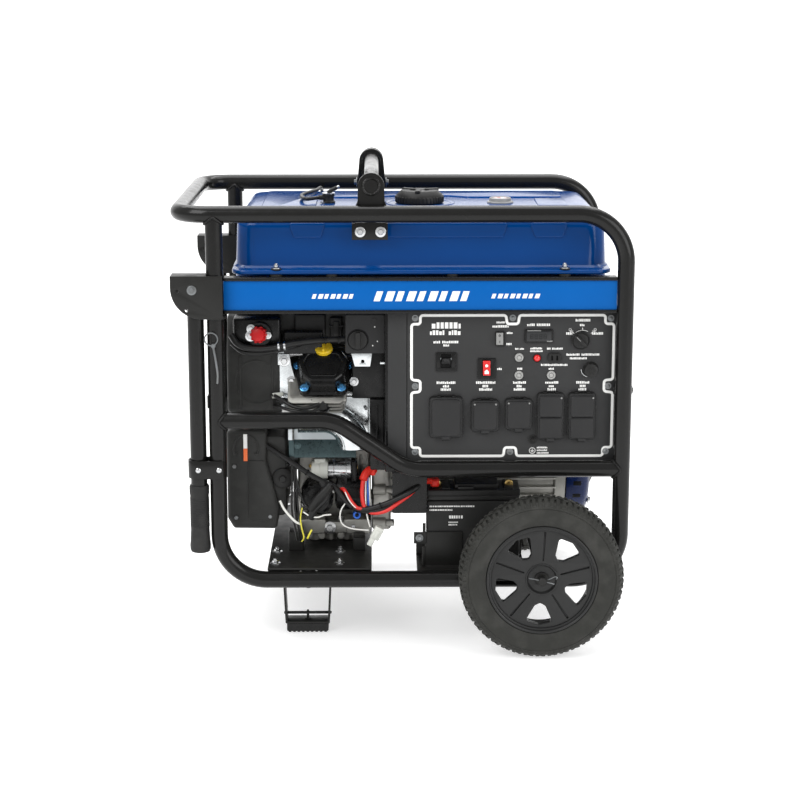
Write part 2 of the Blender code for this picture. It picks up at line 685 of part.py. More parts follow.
def panel_controls():
    """Everything on the panel that a finger turns, tilts or pushes."""
    for name, (x, z) in RESET_BUTTONS.items():
        start = (x, PANEL_FACE_Y - BUTTON_PROUD, z)
        end = (x, PANEL_FACE_Y + 0.006, z)
        finish(rod(start, end, BUTTON_R, 16), name, "plastic_black", start)
    breaker_toggle()
    rocker("breaker_rocker", BREAKER_ROCKER, 0.014, 0.028, 0.0072, "plastic_red")
    rocker("fuel_switch_rocker", FUEL_SWITCH, 0.013, 0.023, 0.0068, "plastic_grey")
    x, z = SWITCH_KNOB
    base = PANEL_FACE_Y - 0.0006
    skirt = [(0.0, 0.009), (0.0145, 0.009), (0.0170, 0.006), (0.0170, 0.0), (0.0, 0.0)]
    knob = turned(skirt, (x, base, z), (0, -1, 0), 32)
    grip = box((-0.0035, -0.007, -0.013), (0.0035, 0.007, 0.014), 0.0015, 1)
    grip.rotation_euler = (0.0, math.radians(-45), 0.0)
    grip.location = (x, base - 0.013, z)
    finish(joined(knob, bake(grip)), "engine_switch_knob", "plastic_black", (x, base, z))


def fuel_dial():
    """The selector beside the panel: a box and the knob on its face."""
    low = (DIAL_BOX_X[0], DIAL_BOX_Y[0], DIAL_BOX_Z[0])
    high = (DIAL_BOX_X[1], DIAL_BOX_Y[1], DIAL_BOX_Z[1])
    finish(box(low, high, 0.004, 2), "fuel_dial_housing", "plastic_black")
    x, z = DIAL_CENTRE
    base = DIAL_BOX_Y[0] - 0.0006
    disc = [(0.0, 0.006), (DIAL_R - 0.002, 0.006), (DIAL_R, 0.004), (DIAL_R, 0.0), (0.0, 0.0)]
    knob = turned(disc, (x, base, z), (0, -1, 0), 32)
    bar = box((x - 0.0045, base - 0.014, z - 0.016), (x + 0.0045, base - 0.004, z + 0.016), 0.0015, 1)
    finish(joined(knob, bar), "fuel_dial_knob", "plastic_black", (x, base, z))


# --- Engine --------------------------------------------------------------------------------------

def crankcase():
    """The engine block: a deck at 45 degrees for each cylinder, feet, and a bore for the crankshaft."""
    reach = 0.055
    diagonal = math.sqrt(0.5)
    def deck(across, side):
        y = side * (DECK_DISTANCE - GAP + across) * diagonal
        return (y, SHAFT_Z + (DECK_DISTANCE - GAP - across) * diagonal)
    low = 0.200
    right_side = [deck(-reach, 1), deck(reach, 1), (0.105, 0.255), (0.085, low)]
    left_side = [(-y, z) for y, z in reversed(right_side)]
    block = plate(right_side + left_side, CRANKCASE_X[0], CRANKCASE_X[1], "x")
    feet = []
    for x in (-0.195, -0.095):
        for side in (-1, 1):
            y = side * 0.068
            feet.append(box((x, y - 0.018, CRADLE_TOP_Z + GAP), (x + 0.025, y + 0.018, low + 0.012), 0.003, 1))
    bore = rod((CRANKCASE_X[0] - 0.01, 0, SHAFT_Z), (CRANKCASE_X[1] + 0.01, 0, SHAFT_Z), 0.050, 24)
    finish(cut(joined(block, *feet), bore), "crankcase", "cast_aluminium")


def cylinder(side, x, name):
    """A finned barrel, a head and a valve cover, leaning 45 degrees to one side."""
    half = 0.050
    fin_half = 0.058
    barrel = box((-half, -half, DECK_DISTANCE), (half, half, HEAD_DISTANCE + 0.004))
    fins = []
    for i in range(6):
        low = DECK_DISTANCE + 0.016 + 0.024 * i
        fins.append(box((-fin_half, -fin_half, low), (fin_half, fin_half, low + 0.006)))
    cover = box((-0.054, -0.048, HEAD_DISTANCE), (0.054, 0.048, COVER_DISTANCE), 0.014, 3)
    shape = joined(barrel, *fins, cover)
    shape.rotation_euler = (-side * math.radians(45), 0.0, 0.0)
    shape.location = (x, 0.0, SHAFT_Z)
    finish(bake(shape), name, "cast_aluminium")


def blower_housing():
    """The shroud over the flywheel fan, open to the crankcase and round its air inlet."""
    low = (-0.331, -0.198, 0.206)
    high = (-0.2225, 0.198, 0.404)
    outer = box(low, high, 0.020, 2)
    inside = rod((-0.326, 0, SHAFT_Z), (-0.210, 0, SHAFT_Z), 0.088, 32)
    inlet = rod((-0.340, 0, SHAFT_Z), (-0.320, 0, SHAFT_Z), 0.040, 24)
    finish(cut(outer, inside, inlet), "blower_housing", "plastic_black")


def air_cleaner():
    """The box over the fan shroud, its front face folded back at the top, and the filter over the V."""
    outline = [(-0.200, 0.438), (0.120, 0.438), (0.120, 0.626), (-0.165, 0.626), (-0.200, 0.560)]
    shape = plate(rounded(outline, 0.012, 2, closed=True), -0.331, -0.2275, "x")
    over = box((-0.320, -0.182, 0.572), (-0.036, 0.160, 0.640), 0.010, 2)
    finish(joined(shape, over), "air_cleaner", "plastic_black")


def starter_motor():
    """The starter beside the crankcase, with its solenoid above."""
    motor = rod((-0.126, -0.155, 0.268), (-0.062, -0.155, 0.268), 0.034, 24)
    solenoid = rod((-0.176, -0.165, 0.320), (-0.098, -0.165, 0.320), 0.0205, 20)
    clamp = box((-0.124, -0.178, 0.268), (-0.104, -0.150, 0.322))
    finish(joined(motor, clamp, solenoid), "starter_motor", "steel")


def oil_filter():
    """The canister screwed to the front of the crankcase."""
    profile = [(0.0, 0.078), (0.026, 0.078), (0.032, 0.070), (0.032, 0.008), (0.026, 0.0), (0.0, 0.0)]
    finish(turned(profile, (-0.165, -0.1115, 0.262), (0, -1, 0), 24), "oil_filter", "plastic_black")


def alternator():
    """The stator's barrel, its end cover, and the shaft that runs through engine and alternator."""
    left, right = ALTERNATOR_X
    outer = ALTERNATOR_R
    inner = outer - 0.010
    barrel = [(inner, right), (outer, right), (outer, left), (inner, left), (inner, STATOR_X[0]),
              (STATOR_R, STATOR_X[0]), (STATOR_R, STATOR_X[1]), (inner, STATOR_X[1])]
    finish(turned(barrel, (0, 0, SHAFT_Z), (1, 0, 0), 32, closed=True), "alternator_housing", "cast_aluminium")
    start = right + GAP
    cover = [(0.0, END_COVER_X), (outer - 0.020, END_COVER_X), (outer - 0.004, END_COVER_X - 0.012),
             (outer, start), (inner, start), (inner, END_COVER_X - 0.020), (0.0, END_COVER_X - 0.020)]
    finish(turned(cover, (0, 0, SHAFT_Z), (1, 0, 0), 32), "alternator_end_cover", "tank_blue")
    shaft = 0.018
    web = 0.044
    rotor = STATOR_R - 0.004
    fan = 0.080
    profile = [(0.0, 0.345), (shaft, 0.345), (shaft, 0.250), (rotor, 0.250), (rotor, 0.030),
               (shaft, 0.030), (shaft, -0.085), (web, -0.085), (web, -0.180), (shaft, -0.180),
               (shaft, -0.225), (fan, -0.225), (fan, -0.285), (shaft, -0.290), (shaft, -0.310),
               (0.0, -0.310)]
    rotor_shaft = turned(profile, (0, 0, SHAFT_Z), (1, 0, 0), 24)
    finish(rotor_shaft, "rotor_shaft", "steel", (0, 0, SHAFT_Z))


def muffler():
    """The silencer behind the panel, with its tail pipe."""
    can = rod((-0.050, 0.195, 0.500), (0.250, 0.195, 0.500), 0.060, 28)
    tail = rod((0.240, 0.195, 0.500), (0.290, 0.195, 0.500), 0.016, 16)
    inlet = rod((0.020, 0.195, 0.500), (0.020, 0.140, 0.470), 0.018, 16)
    finish(joined(can, tail, inlet), "muffler", "steel")


def battery():
    low = (BATTERY_X[0], BATTERY_Y[0], BATTERY_Z[0])
    high = (BATTERY_X[1], BATTERY_Y[1], BATTERY_Z[1])
    case = box(low, high, 0.003, 1)
    posts = []
    for x in (BATTERY_X[0] + 0.020, BATTERY_X[1] - 0.020):
        posts.append(box((x - 0.008, -0.190, high[2] - 0.004), (x + 0.008, -0.173, high[2] + 0.012)))
    finish(joined(case, *posts), "battery", "plastic_black")
    floor_low = BATTERY_Z[0] - 0.004
    tray_floor = box((0.030, -SIDE_Y + TUBE_R + GAP, floor_low), (0.240, -0.136, BATTERY_Z[0] - GAP))
    front = box((0.030, -0.2245, floor_low), (0.110, BATTERY_Y[0] - GAP, 0.172))
    back = box((0.030, BATTERY_Y[1] + GAP, floor_low), (0.240, -0.1395, 0.172))
    finish(joined(tray_floor, front, back), "battery_tray", "frame_black")


def fuel_hose():
    """The hose from the regulator end to the selector box, along a smooth curve."""
    route = [(-0.322, -0.232, 0.592), (-0.300, -0.236, 0.576), (-0.262, -0.238, 0.574),
             (-0.200, -0.236, 0.582), (-0.150, -0.232, 0.588), (DIAL_BOX_X[0] - 0.0015, -0.228, 0.590)]
    points = [Vector(point) for point in route]
    path = []
    for i in range(len(points) - 1):
        before = points[max(i - 1, 0)]
        after = points[min(i + 2, len(points) - 1)]
        start, end = points[i], points[i + 1]
        for step in range(3):
            t = step / 3
            path.append(0.5 * (2 * start + (end - before) * t
                               + (2 * before - 5 * start + 4 * end - after) * t ** 2
                               + (3 * start - before - 3 * end + after) * t ** 3))
    path.append(points[-1])
    finish(pipe(path, 0.0075, 2), "fuel_hose", "rubber_black")


def build():
    clear_scene()
    bpy.context.scene.collection.children.link(bpy.data.collections.new(PARTS))
    make_materials()
    top_loop()
    for side, place in ((-1, "front"), (1, "rear")):
        side_tube(side * SIDE_Y, f"frame_side_{place}")
        mid_rail(side * SIDE_Y, f"frame_mid_rail_{place}")
        beam(side, f"{place}_beam")
        foot(side, place)
        handle(side, place)
        wheel(side, place)
    cross_tube(CROSS_X, BOTTOM_Z, "frame_cross_left")
    cross_tube(FRAME_END_X, 0.500, "frame_cross_right")
    lift_bar()
    lift_eye()
    cradles()
    axle()
    fuel_tank()
    fuel_cap()
    control_box()
    control_panel()
    outlet_lids()
    panel_controls()
    fuel_dial()
    crankcase()
    cylinder(-1, CYLINDER_FRONT_X, "cylinder_front")
    cylinder(1, CYLINDER_REAR_X, "cylinder_rear")
    blower_housing()
    air_cleaner()
    starter_motor()
    oil_filter()
    alternator()
    muffler()
    battery()
    fuel_hose()


build()
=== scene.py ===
"""The looks of the portable generator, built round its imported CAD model.

Metres, +Z up, +X to the right of the control panel, the user at -Y.
"""
import math
import random

import bmesh
import bpy
from mathutils import Matrix, Vector


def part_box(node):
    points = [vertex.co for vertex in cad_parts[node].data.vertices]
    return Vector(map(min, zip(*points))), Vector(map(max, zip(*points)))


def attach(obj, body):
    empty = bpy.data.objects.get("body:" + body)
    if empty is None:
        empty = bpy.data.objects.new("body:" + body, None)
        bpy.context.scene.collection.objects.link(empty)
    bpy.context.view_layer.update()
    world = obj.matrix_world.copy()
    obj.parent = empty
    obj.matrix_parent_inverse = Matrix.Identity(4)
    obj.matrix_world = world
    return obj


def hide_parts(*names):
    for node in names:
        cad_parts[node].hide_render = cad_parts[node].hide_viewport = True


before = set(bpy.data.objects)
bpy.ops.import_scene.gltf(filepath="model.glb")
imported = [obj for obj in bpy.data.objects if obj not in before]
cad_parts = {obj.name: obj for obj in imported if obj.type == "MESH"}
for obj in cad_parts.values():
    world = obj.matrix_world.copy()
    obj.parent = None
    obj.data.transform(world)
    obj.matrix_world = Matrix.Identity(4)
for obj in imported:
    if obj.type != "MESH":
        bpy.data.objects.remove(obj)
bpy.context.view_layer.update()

UP = Vector((0, 0, 1))
OUT = Vector((0, -1, 0))          # towards the user
RIGHT = Vector((1, 0, 0))


# --- Materials -----------------------------------------------------------------------------------

def surface(name, colour, roughness, metallic=0.0, coat=0.0, vary=0.10, vary_scale=7.0, rough_vary=0.07,
            bump=0.03, bump_scale=900.0, cells=False, stretch=(1.0, 1.0, 1.0), stain=None, emission=0.0,
            gloss=0.5):
    """A Principled material whose colour, roughness and surface all vary, by noise of three sizes.

    stretch draws the fine marks out along an axis, as brushing does. stain is a colour and a share of
    the surface that drifts towards it, such as dust on rubber or oxide on a casting.
    """
    material = bpy.data.materials.new(name)
    material.use_nodes = True
    tree = material.node_tree
    shader = tree.nodes["Principled BSDF"]
    shader.inputs["Metallic"].default_value = metallic
    shader.inputs["Coat Weight"].default_value = coat
    shader.inputs["Specular IOR Level"].default_value = gloss
    shader.inputs["Coat Roughness"].default_value = 0.06
    place = tree.nodes.new("ShaderNodeTexCoord")
    spread = tree.nodes.new("ShaderNodeMapping")
    spread.inputs["Scale"].default_value = stretch
    tree.links.new(place.outputs["Object"], spread.inputs["Vector"])

    def speckle(scale, detail, vector):
        node = tree.nodes.new("ShaderNodeTexNoise")
        node.inputs["Scale"].default_value = scale
        node.inputs["Detail"].default_value = detail
        tree.links.new(vector, node.inputs["Vector"])
        return node.outputs["Fac"]

    def ramp(value, low, high, first, last):
        node = tree.nodes.new("ShaderNodeMapRange")
        node.inputs["From Min"].default_value = low
        node.inputs["From Max"].default_value = high
        node.inputs["To Min"].default_value = first
        node.inputs["To Max"].default_value = last
        tree.links.new(value, node.inputs["Value"])
        return node.outputs["Result"]

    def blend(share, first, last):
        node = tree.nodes.new("ShaderNodeMix")
        node.data_type = "RGBA"
        tree.links.new(share, node.inputs["Factor"])
        for socket, value in ((node.inputs[6], first), (node.inputs[7], last)):
            if isinstance(value, tuple):
                socket.default_value = (*value, 1.0)
            else:
                tree.links.new(value, socket)
        return node.outputs[2]

    broad = speckle(vary_scale, 4.0, place.outputs["Object"])
    darker = tuple(c * (1 - vary) for c in colour)
    lighter = tuple(min(c * (1 + vary), 1.0) for c in colour)
    tint = blend(ramp(broad, 0.3, 0.7, 0.0, 1.0), darker, lighter)
    if stain:
        stain_colour, share = stain
        patches = speckle(vary_scale * 5.0, 8.0, place.outputs["Object"])
        tint = blend(ramp(patches, 0.45, 0.75, 0.0, share), tint, stain_colour)
    tree.links.new(tint, shader.inputs["Base Color"])
    fine = speckle(vary_scale * 8.0, 6.0, spread.outputs["Vector"])
    rough = ramp(fine, 0.3, 0.7, max(roughness - rough_vary, 0.02), min(roughness + rough_vary, 1.0))
    tree.links.new(rough, shader.inputs["Roughness"])
    if cells:
        grain_node = tree.nodes.new("ShaderNodeTexVoronoi")
        grain_node.inputs["Scale"].default_value = bump_scale
        tree.links.new(spread.outputs["Vector"], grain_node.inputs["Vector"])
        grain = grain_node.outputs["Distance"]
    else:
        grain = speckle(bump_scale, 3.0, spread.outputs["Vector"])
    relief = tree.nodes.new("ShaderNodeBump")
    relief.inputs["Strength"].default_value = bump
    relief.inputs["Distance"].default_value = 0.002
    tree.links.new(grain, relief.inputs["Height"])
    tree.links.new(relief.outputs["Normal"], shader.inputs["Normal"])
    if emission:
        tree.links.new(tint, shader.inputs["Emission Color"])
        shader.inputs["Emission Strength"].default_value = emission
    return material


def make_materials():
    """Every finish on the machine, by name."""
    dust = (0.16, 0.155, 0.145)
    return {
        "frame": surface("frame_powder_coat", (0.0070, 0.0069, 0.0065), 0.22, coat=0.08, bump=0.035,
                         bump_scale=420.0, rough_vary=0.05, gloss=0.22),
        "bracket": surface("bracket_powder_coat", (0.0130, 0.0129, 0.0120), 0.40, bump=0.05, bump_scale=700.0,
                           gloss=0.25),
        "tank": surface("tank_paint", (0.0001, 0.042, 0.185), 0.18, coat=0.20, gloss=0.12, vary=0.06,
                        rough_vary=0.03,
                        bump=0.012, bump_scale=160.0),
        "beam": surface("beam_paint", (0.0002, 0.092, 0.350), 0.40, gloss=0.10, vary=0.05, bump=0.02,
                        bump_scale=500.0),
        "panel": surface("panel_powder_coat", (0.0300, 0.0302, 0.0306), 0.48, gloss=0.22, vary=0.06,
                         bump=0.10,
                         bump_scale=1500.0, cells=True),
        "plastic": surface("moulded_black", (0.0115, 0.0114, 0.0110), 0.44, gloss=0.28, bump=0.09,
                           bump_scale=1300.0,
                           cells=True, vary=0.12),
        "shroud": surface("shroud_black", (0.0185, 0.0187, 0.0175), 0.50, gloss=0.28, bump=0.10,
                          bump_scale=1100.0,
                          cells=True, vary=0.14, stain=(dust, 0.06)),
        "lid": surface("lid_plastic", (0.0210, 0.0210, 0.0214), 0.42, gloss=0.22, bump=0.05,
                       bump_scale=1600.0, cells=True),
        "satin": surface("satin_black", (0.0060, 0.0060, 0.0060), 0.28, gloss=0.25, bump=0.02,
                         bump_scale=600.0),
        "dark": surface("deep_black", (0.0025, 0.0025, 0.0025), 0.60, gloss=0.15, bump=0.02),
        "rubber": surface("grip_rubber", (0.0140, 0.0140, 0.0137), 0.60, gloss=0.28, bump=0.10,
                          bump_scale=800.0,
                          stain=(dust, 0.08)),
        "tyre": surface("tyre_rubber", (0.0210, 0.0212, 0.0185), 0.64, gloss=0.28, vary=0.14, bump=0.12,
                        bump_scale=420.0, stain=(dust, 0.12)),
        "wheel": surface("wheel_plastic", (0.0150, 0.0152, 0.0150), 0.40, gloss=0.32, bump=0.07,
                         bump_scale=1000.0,
                         cells=True),
        "casting": surface("cast_aluminium", (0.36, 0.355, 0.33), 0.44, metallic=0.9, vary=0.12, bump=0.25,
                           bump_scale=520.0, rough_vary=0.12, stain=((0.20, 0.19, 0.17), 0.35)),
        "machined": surface("machined_aluminium", (0.62, 0.62, 0.60), 0.28, metallic=1.0, bump=0.05,
                            bump_scale=300.0, stretch=(1.0, 14.0, 1.0)),
        "zinc": surface("zinc_plate", (0.60, 0.61, 0.62), 0.24, metallic=1.0, vary=0.12, rough_vary=0.10,
                        bump=0.03, bump_scale=260.0, stain=((0.40, 0.38, 0.33), 0.25)),
        "sheet": surface("galvanised_sheet", (0.66, 0.69, 0.70), 0.20, metallic=1.0, vary=0.14,
                         vary_scale=22.0, rough_vary=0.10, bump=0.04, bump_scale=90.0),
        "steel": surface("dark_steel", (0.20, 0.21, 0.215), 0.36, metallic=0.9, vary=0.16, bump=0.05,
                         stain=((0.09, 0.07, 0.05), 0.30)),
        "brass": surface("brass", (0.66, 0.46, 0.17), 0.28, metallic=1.0, bump=0.03, bump_scale=300.0),
        "blue_bolt": surface("blue_passivate", (0.10, 0.33, 0.62), 0.26, metallic=0.8, vary=0.20, bump=0.03),
        "red": surface("red_plastic", (0.42, 0.007, 0.009), 0.34, gloss=0.25, bump=0.03),
        "red_lens": surface("red_lens", (0.62, 0.012, 0.012), 0.12, coat=0.8, bump=0.01, emission=0.12),
        "red_rubber": surface("red_rubber", (0.64, 0.024, 0.014), 0.40, gloss=0.25, bump=0.06, vary=0.15),
        "orange": surface("orange_print", (0.78, 0.15, 0.035), 0.45, bump=0.02),
        "yellow": surface("yellow_plastic", (0.74, 0.50, 0.020), 0.32, gloss=0.35, bump=0.03),
        "blue": surface("blue_plastic", (0.004, 0.10, 0.52), 0.35, bump=0.03),
        "white": surface("white_print", (0.80, 0.80, 0.78), 0.50, vary=0.03, bump=0.02),
        "nylon": surface("white_nylon", (0.62, 0.63, 0.58), 0.42, vary=0.08, bump=0.05, bump_scale=500.0),
        "grey": surface("grey_plastic", (0.22, 0.22, 0.215), 0.40, bump=0.04, bump_scale=900.0),
        "cable": surface("cable_black", (0.0095, 0.0095, 0.0093), 0.36, gloss=0.30, bump=0.05,
                         bump_scale=700.0),
        "cable_red": surface("cable_red", (0.60, 0.020, 0.015), 0.36, bump=0.04, bump_scale=700.0),
        "cable_white": surface("cable_white", (0.72, 0.72, 0.68), 0.40, vary=0.05, bump=0.04),
        "cable_blue": surface("cable_blue", (0.02, 0.09, 0.42), 0.38, bump=0.04),
        "cable_yellow": surface("cable_yellow", (0.66, 0.60, 0.05), 0.40, bump=0.04),
        "lens": surface("meter_lens", (0.012, 0.013, 0.014), 0.10, coat=0.3, gloss=0.3, bump=0.004),
        "silencer": surface("silencer_steel", (0.30, 0.29, 0.28), 0.42, metallic=0.9, vary=0.20,
                            vary_scale=12.0, bump=0.06, stain=((0.14, 0.09, 0.05), 0.40)),
        "floor": surface("floor", (0.62, 0.62, 0.62), 0.75, vary=0.006, bump=0.0, emission=0.85),
        # A paler copy of the galvanised sheet: painted light on the upper half of the curved plate under the
        # heat shield.
        "sheet_painted_light": surface("galvanised_sheet_painted_light", (0.62, 0.66, 0.68), 0.42, metallic=0.35, vary=0.08,
                              vary_scale=20.0, bump=0.03),
        "navy": surface("navy_paint", (0.0010, 0.010, 0.062), 0.24, coat=0.10, gloss=0.20, vary=0.06,
                        bump=0.02),
        "light_grey": surface("light_grey_plastic", (0.34, 0.34, 0.33), 0.34, gloss=0.4, bump=0.04,
                              bump_scale=900.0),
        # A darker copy of the galvanised sheet: painted shade on the lower half of the same curved plate.
        "sheet_painted_shade": surface("galvanised_sheet_painted_shade", (0.042, 0.068, 0.072), 0.30, metallic=0.60, vary=0.25,
                              vary_scale=18.0, bump=0.03),
    }


MATERIALS = make_materials()
MATERIALS_FOR_CAD = {}            # finishes of the CAD nodes that stay as they are


# --- Making shapes -------------------------------------------------------------------------------

def piece(name, shape, finish, body="generator", replaces=(), angle=35.0):
    """Turns a finished shape into a piece that rides on a body."""
    mesh = bpy.data.meshes.new(name)
    bmesh.ops.remove_doubles(shape, verts=shape.verts, dist=1e-6)
    shape.to_mesh(mesh)
    shape.free()
    mesh.shade_smooth()
    mesh.set_sharp_from_angle(angle=math.radians(angle))
    mesh.materials.append(MATERIALS[finish])
    made = bpy.data.objects.new(name, mesh)
    bpy.context.scene.collection.objects.link(made)
    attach(made, body)
    if replaces:
        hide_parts(*replaces)
    return made


def absorb(shape, part, place=None):
    """Adds one shape to another, and frees it."""
    if place is not None:
        bmesh.ops.transform(part, matrix=place, verts=part.verts)
    mesh = bpy.data.meshes.new("part")
    part.to_mesh(mesh)
    part.free()
    shape.from_mesh(mesh)
    bpy.data.meshes.remove(mesh)


def facing(axis, origin):
    """The place whose local Z runs along axis from origin."""
    return Matrix.Translation(origin) @ Vector(axis).to_track_quat("Z", "Y").to_matrix().to_4x4()


def block(shape, low, high, bevel=0.0, segments=3, place=None):
    """A box between two corners with rounded edges."""
    low = Vector(low)
    size = Vector(high) - low
    part = bmesh.new()
    bmesh.ops.create_cube(part, size=1.0)
    bmesh.ops.scale(part, vec=size, verts=part.verts)
    bmesh.ops.translate(part, vec=low + size / 2, verts=part.verts)
    if bevel:
        bmesh.ops.bevel(part, geom=list(part.edges), offset=bevel, segments=segments, profile=0.5,
                        affect="EDGES")
    absorb(shape, part, place)


def lathe(shape, profile, origin, axis, steps=48, closed=False, place=None):
    """A turned shape from (radius, height) points that run anticlockwise seen with height up."""
    part = bmesh.new()
    rings = []
    for step in range(steps):
        turn = 2 * math.pi * step / steps
        rings.append([part.verts.new((r * math.cos(turn), r * math.sin(turn), h)) for r, h in profile])
    count = len(profile)
    for step in range(steps):
        near, far = rings[step], rings[(step + 1) % steps]
        for i in range(count if closed else count - 1):
            j = (i + 1) % count
            part.faces.new((near[i], far[i], far[j], near[j]))
    bmesh.ops.remove_doubles(part, verts=part.verts, dist=1e-6)
    bmesh.ops.recalc_face_normals(part, faces=part.faces)
    move = facing(axis, origin)
    absorb(shape, part, place @ move if place is not None else move)


def bar(shape, start, end, radius, sides=20, bevel=0.0, place=None, end_radius=None):
    """A round bar between two points, its ends rounded off by bevel."""
    start = Vector(start)
    length = (Vector(end) - start).length
    last = radius if end_radius is None else end_radius
    profile = [(0.0, 0.0), (radius - bevel, 0.0), (radius, bevel), (last, length - bevel),
               (last - bevel, length), (0.0, length)]
    if not bevel:
        profile = [(0.0, 0.0), (radius, 0.0), (last, length), (0.0, length)]
    lathe(shape, profile, start, Vector(end) - start, sides, place=place)


def sweep(shape, path, radius, sides=16, closed=False, flat=1.0, round_ends=False):
    """A tube along a path. flat below 1 squeezes it across its first normal."""
    path = [Vector(point) for point in path]
    count = len(path)
    part = bmesh.new()
    normal = None
    rings = []
    for i, point in enumerate(path):
        before = path[i - 1] if i or closed else path[0]
        after = path[(i + 1) % count] if i < count - 1 or closed else path[-1]
        along = (after - before).normalized()
        if normal is None:
            normal = along.orthogonal().normalized()
        normal = (normal - along * normal.dot(along)).normalized()
        side = along.cross(normal)
        ring = []
        for s in range(sides):
            turn = 2 * math.pi * s / sides
            ring.append(part.verts.new(point + radius * (normal * math.cos(turn) * flat
                                                         + side * math.sin(turn))))
        rings.append(ring)
    for i in range(count if closed else count - 1):
        near, far = rings[i], rings[(i + 1) % count]
        for s in range(sides):
            t = (s + 1) % sides
            part.faces.new((near[s], near[t], far[t], far[s]))
    if not closed:
        for ring, step in ((rings[0], path[0] - path[1]), (rings[-1], path[-1] - path[-2])):
            if round_ends:
                tip = part.verts.new(sum((v.co for v in ring), Vector()) / sides
                                     + step.normalized() * radius * 0.5)
                for s in range(sides):
                    part.faces.new((ring[s], ring[(s + 1) % sides], tip))
            else:
                part.faces.new(ring)
    bmesh.ops.recalc_face_normals(part, faces=part.faces)
    absorb(shape, part)


def slab(shape, outline, low, high, axis, bevel=0.0, holes=(), place=None, segments=2):
    """A flat plate from an outline and holes, between two places along an axis, with eased edges."""
    curve = bpy.data.curves.new("slab", "CURVE")
    curve.dimensions = "2D"
    curve.fill_mode = "BOTH"
    curve.extrude = (high - low) / 2 - bevel
    curve.bevel_depth = bevel
    curve.offset = -bevel
    curve.bevel_resolution = segments - 1
    for points in (outline, *holes):
        line = curve.splines.new("POLY")
        line.points.add(len(points) - 1)
        for spot, point in zip(line.points, points):
            spot.co = (point[0], point[1], 0.0, 1.0)
        line.use_cyclic_u = True
    holder = bpy.data.objects.new("slab", curve)
    bpy.context.scene.collection.objects.link(holder)
    bpy.context.view_layer.update()
    mesh = bpy.data.meshes.new_from_object(holder.evaluated_get(bpy.context.evaluated_depsgraph_get()))
    bpy.data.objects.remove(holder, do_unlink=True)
    part = bmesh.new()
    part.from_mesh(mesh)
    bpy.data.meshes.remove(mesh)
    bmesh.ops.remove_doubles(part, verts=part.verts, dist=1e-6)
    turn = {"x": Matrix(((0, 0, 1), (1, 0, 0), (0, 1, 0))), "y": Matrix(((1, 0, 0), (0, 0, -1), (0, 1, 0))),
            "z": Matrix.Identity(3)}[axis].to_4x4()
    middle = {"x": RIGHT, "y": -OUT, "z": UP}[axis] * (low + high) / 2
    move = Matrix.Translation(middle) @ turn
    absorb(shape, part, place @ move if place is not None else move)


def rounded(points, radius, steps=8, closed=False):
    """A line through points with its corners turned into arcs."""
    points = [Vector(point) for point in points]
    count = len(points)
    path = []
    for i, corner in enumerate(points):
        if not closed and i in (0, count - 1):
            path.append(corner)
            continue
        back = (points[i - 1] - corner).normalized()
        ahead = (points[(i + 1) % count] - corner).normalized()
        half = back.angle(ahead) / 2
        if math.pi / 2 - half < 0.01:
            path.append(corner)
            continue
        middle = corner + (back + ahead).normalized() * radius / math.sin(half)
        first = corner + back * radius / math.tan(half) - middle
        last = corner + ahead * radius / math.tan(half) - middle
        spread = first.angle(last)
        for step in range(steps + 1):
            share = step / steps
            swing = first * math.sin((1 - share) * spread) + last * math.sin(share * spread)
            path.append(middle + swing / math.sin(spread))
    return path


def smooth_path(points, steps=6):
    """A curve through every point, with no sudden bends."""
    points = [Vector(point) for point in points]
    path = []
    for i in range(len(points) - 1):
        before, after = points[max(i - 1, 0)], points[min(i + 2, len(points) - 1)]
        start, end = points[i], points[i + 1]
        for step in range(steps):
            t = step / steps
            path.append(0.5 * (2 * start + (end - before) * t
                               + (2 * before - 5 * start + 4 * end - after) * t ** 2
                               + (3 * start - before - 3 * end + after) * t ** 3))
    path.append(points[-1])
    return path


def circle(x, y, radius, sides=32, start=0.0):
    """Corners of a circle in its plane, counted from its right."""
    turns = [start + 2 * math.pi * i / sides for i in range(sides)]
    return [(x + radius * math.cos(t), y + radius * math.sin(t)) for t in turns]


def rectangle(left, right, low, high):
    """Corners of a rectangle from its left, right, low and high edges."""
    return [(left, low), (right, low), (right, high), (left, high)]


def hex_bolt(shape, place, axis, size=0.010, washer=True, stand=0.0, transform=None):
    """A hexagon head on a washer. size is across its corners."""
    axis = Vector(axis).normalized()
    place = Vector(place) + axis * stand
    thick = size * 0.12
    if washer:
        rim = size * 0.85
        lathe(shape, [(0.0, 0.0), (rim, 0.0), (rim, thick * 0.8), (rim * 0.94, thick), (0.0, thick)],
              place, axis, 24, place=transform)
    head = size * 0.42
    half = size / 2
    lathe(shape, [(half, 0.0), (half, head * 0.85), (half * 0.86, head), (0.0, head)],
          place + axis * thick, axis, 6, place=transform)


def socket_screw(shape, place, axis, size=0.006):
    """A round pan head."""
    axis = Vector(axis).normalized()
    half = size / 2
    turns = [math.pi / 2 * i / 4 for i in range(5)]
    dome = [(half * math.cos(t), half * 0.55 * math.sin(t)) for t in turns]
    lathe(shape, [(half, -0.0005)] + dome, place, axis, 20)


def weld_ring(shape, centre, axis, radius, seed):
    """The beaded ring where one tube is welded to another."""
    dice = random.Random(seed)
    turn = facing(axis, centre)
    path = []
    beads = 26
    for i in range(beads * 3):
        angle = 2 * math.pi * i / (beads * 3)
        swell = radius + 0.0006 * math.sin(angle * beads) + dice.uniform(-0.0002, 0.0002)
        path.append(turn @ Vector((swell * math.cos(angle), swell * math.sin(angle), 0.0)))
    sweep(shape, path, 0.0030, 8, closed=True)


def wire(name, points, radius, finish, steps=6, body="generator", sides=10):
    """One insulated wire along a smooth route."""
    shape = bmesh.new()
    sweep(shape, smooth_path(points, steps), radius, sides)
    return piece(name, shape, finish, body, angle=60)


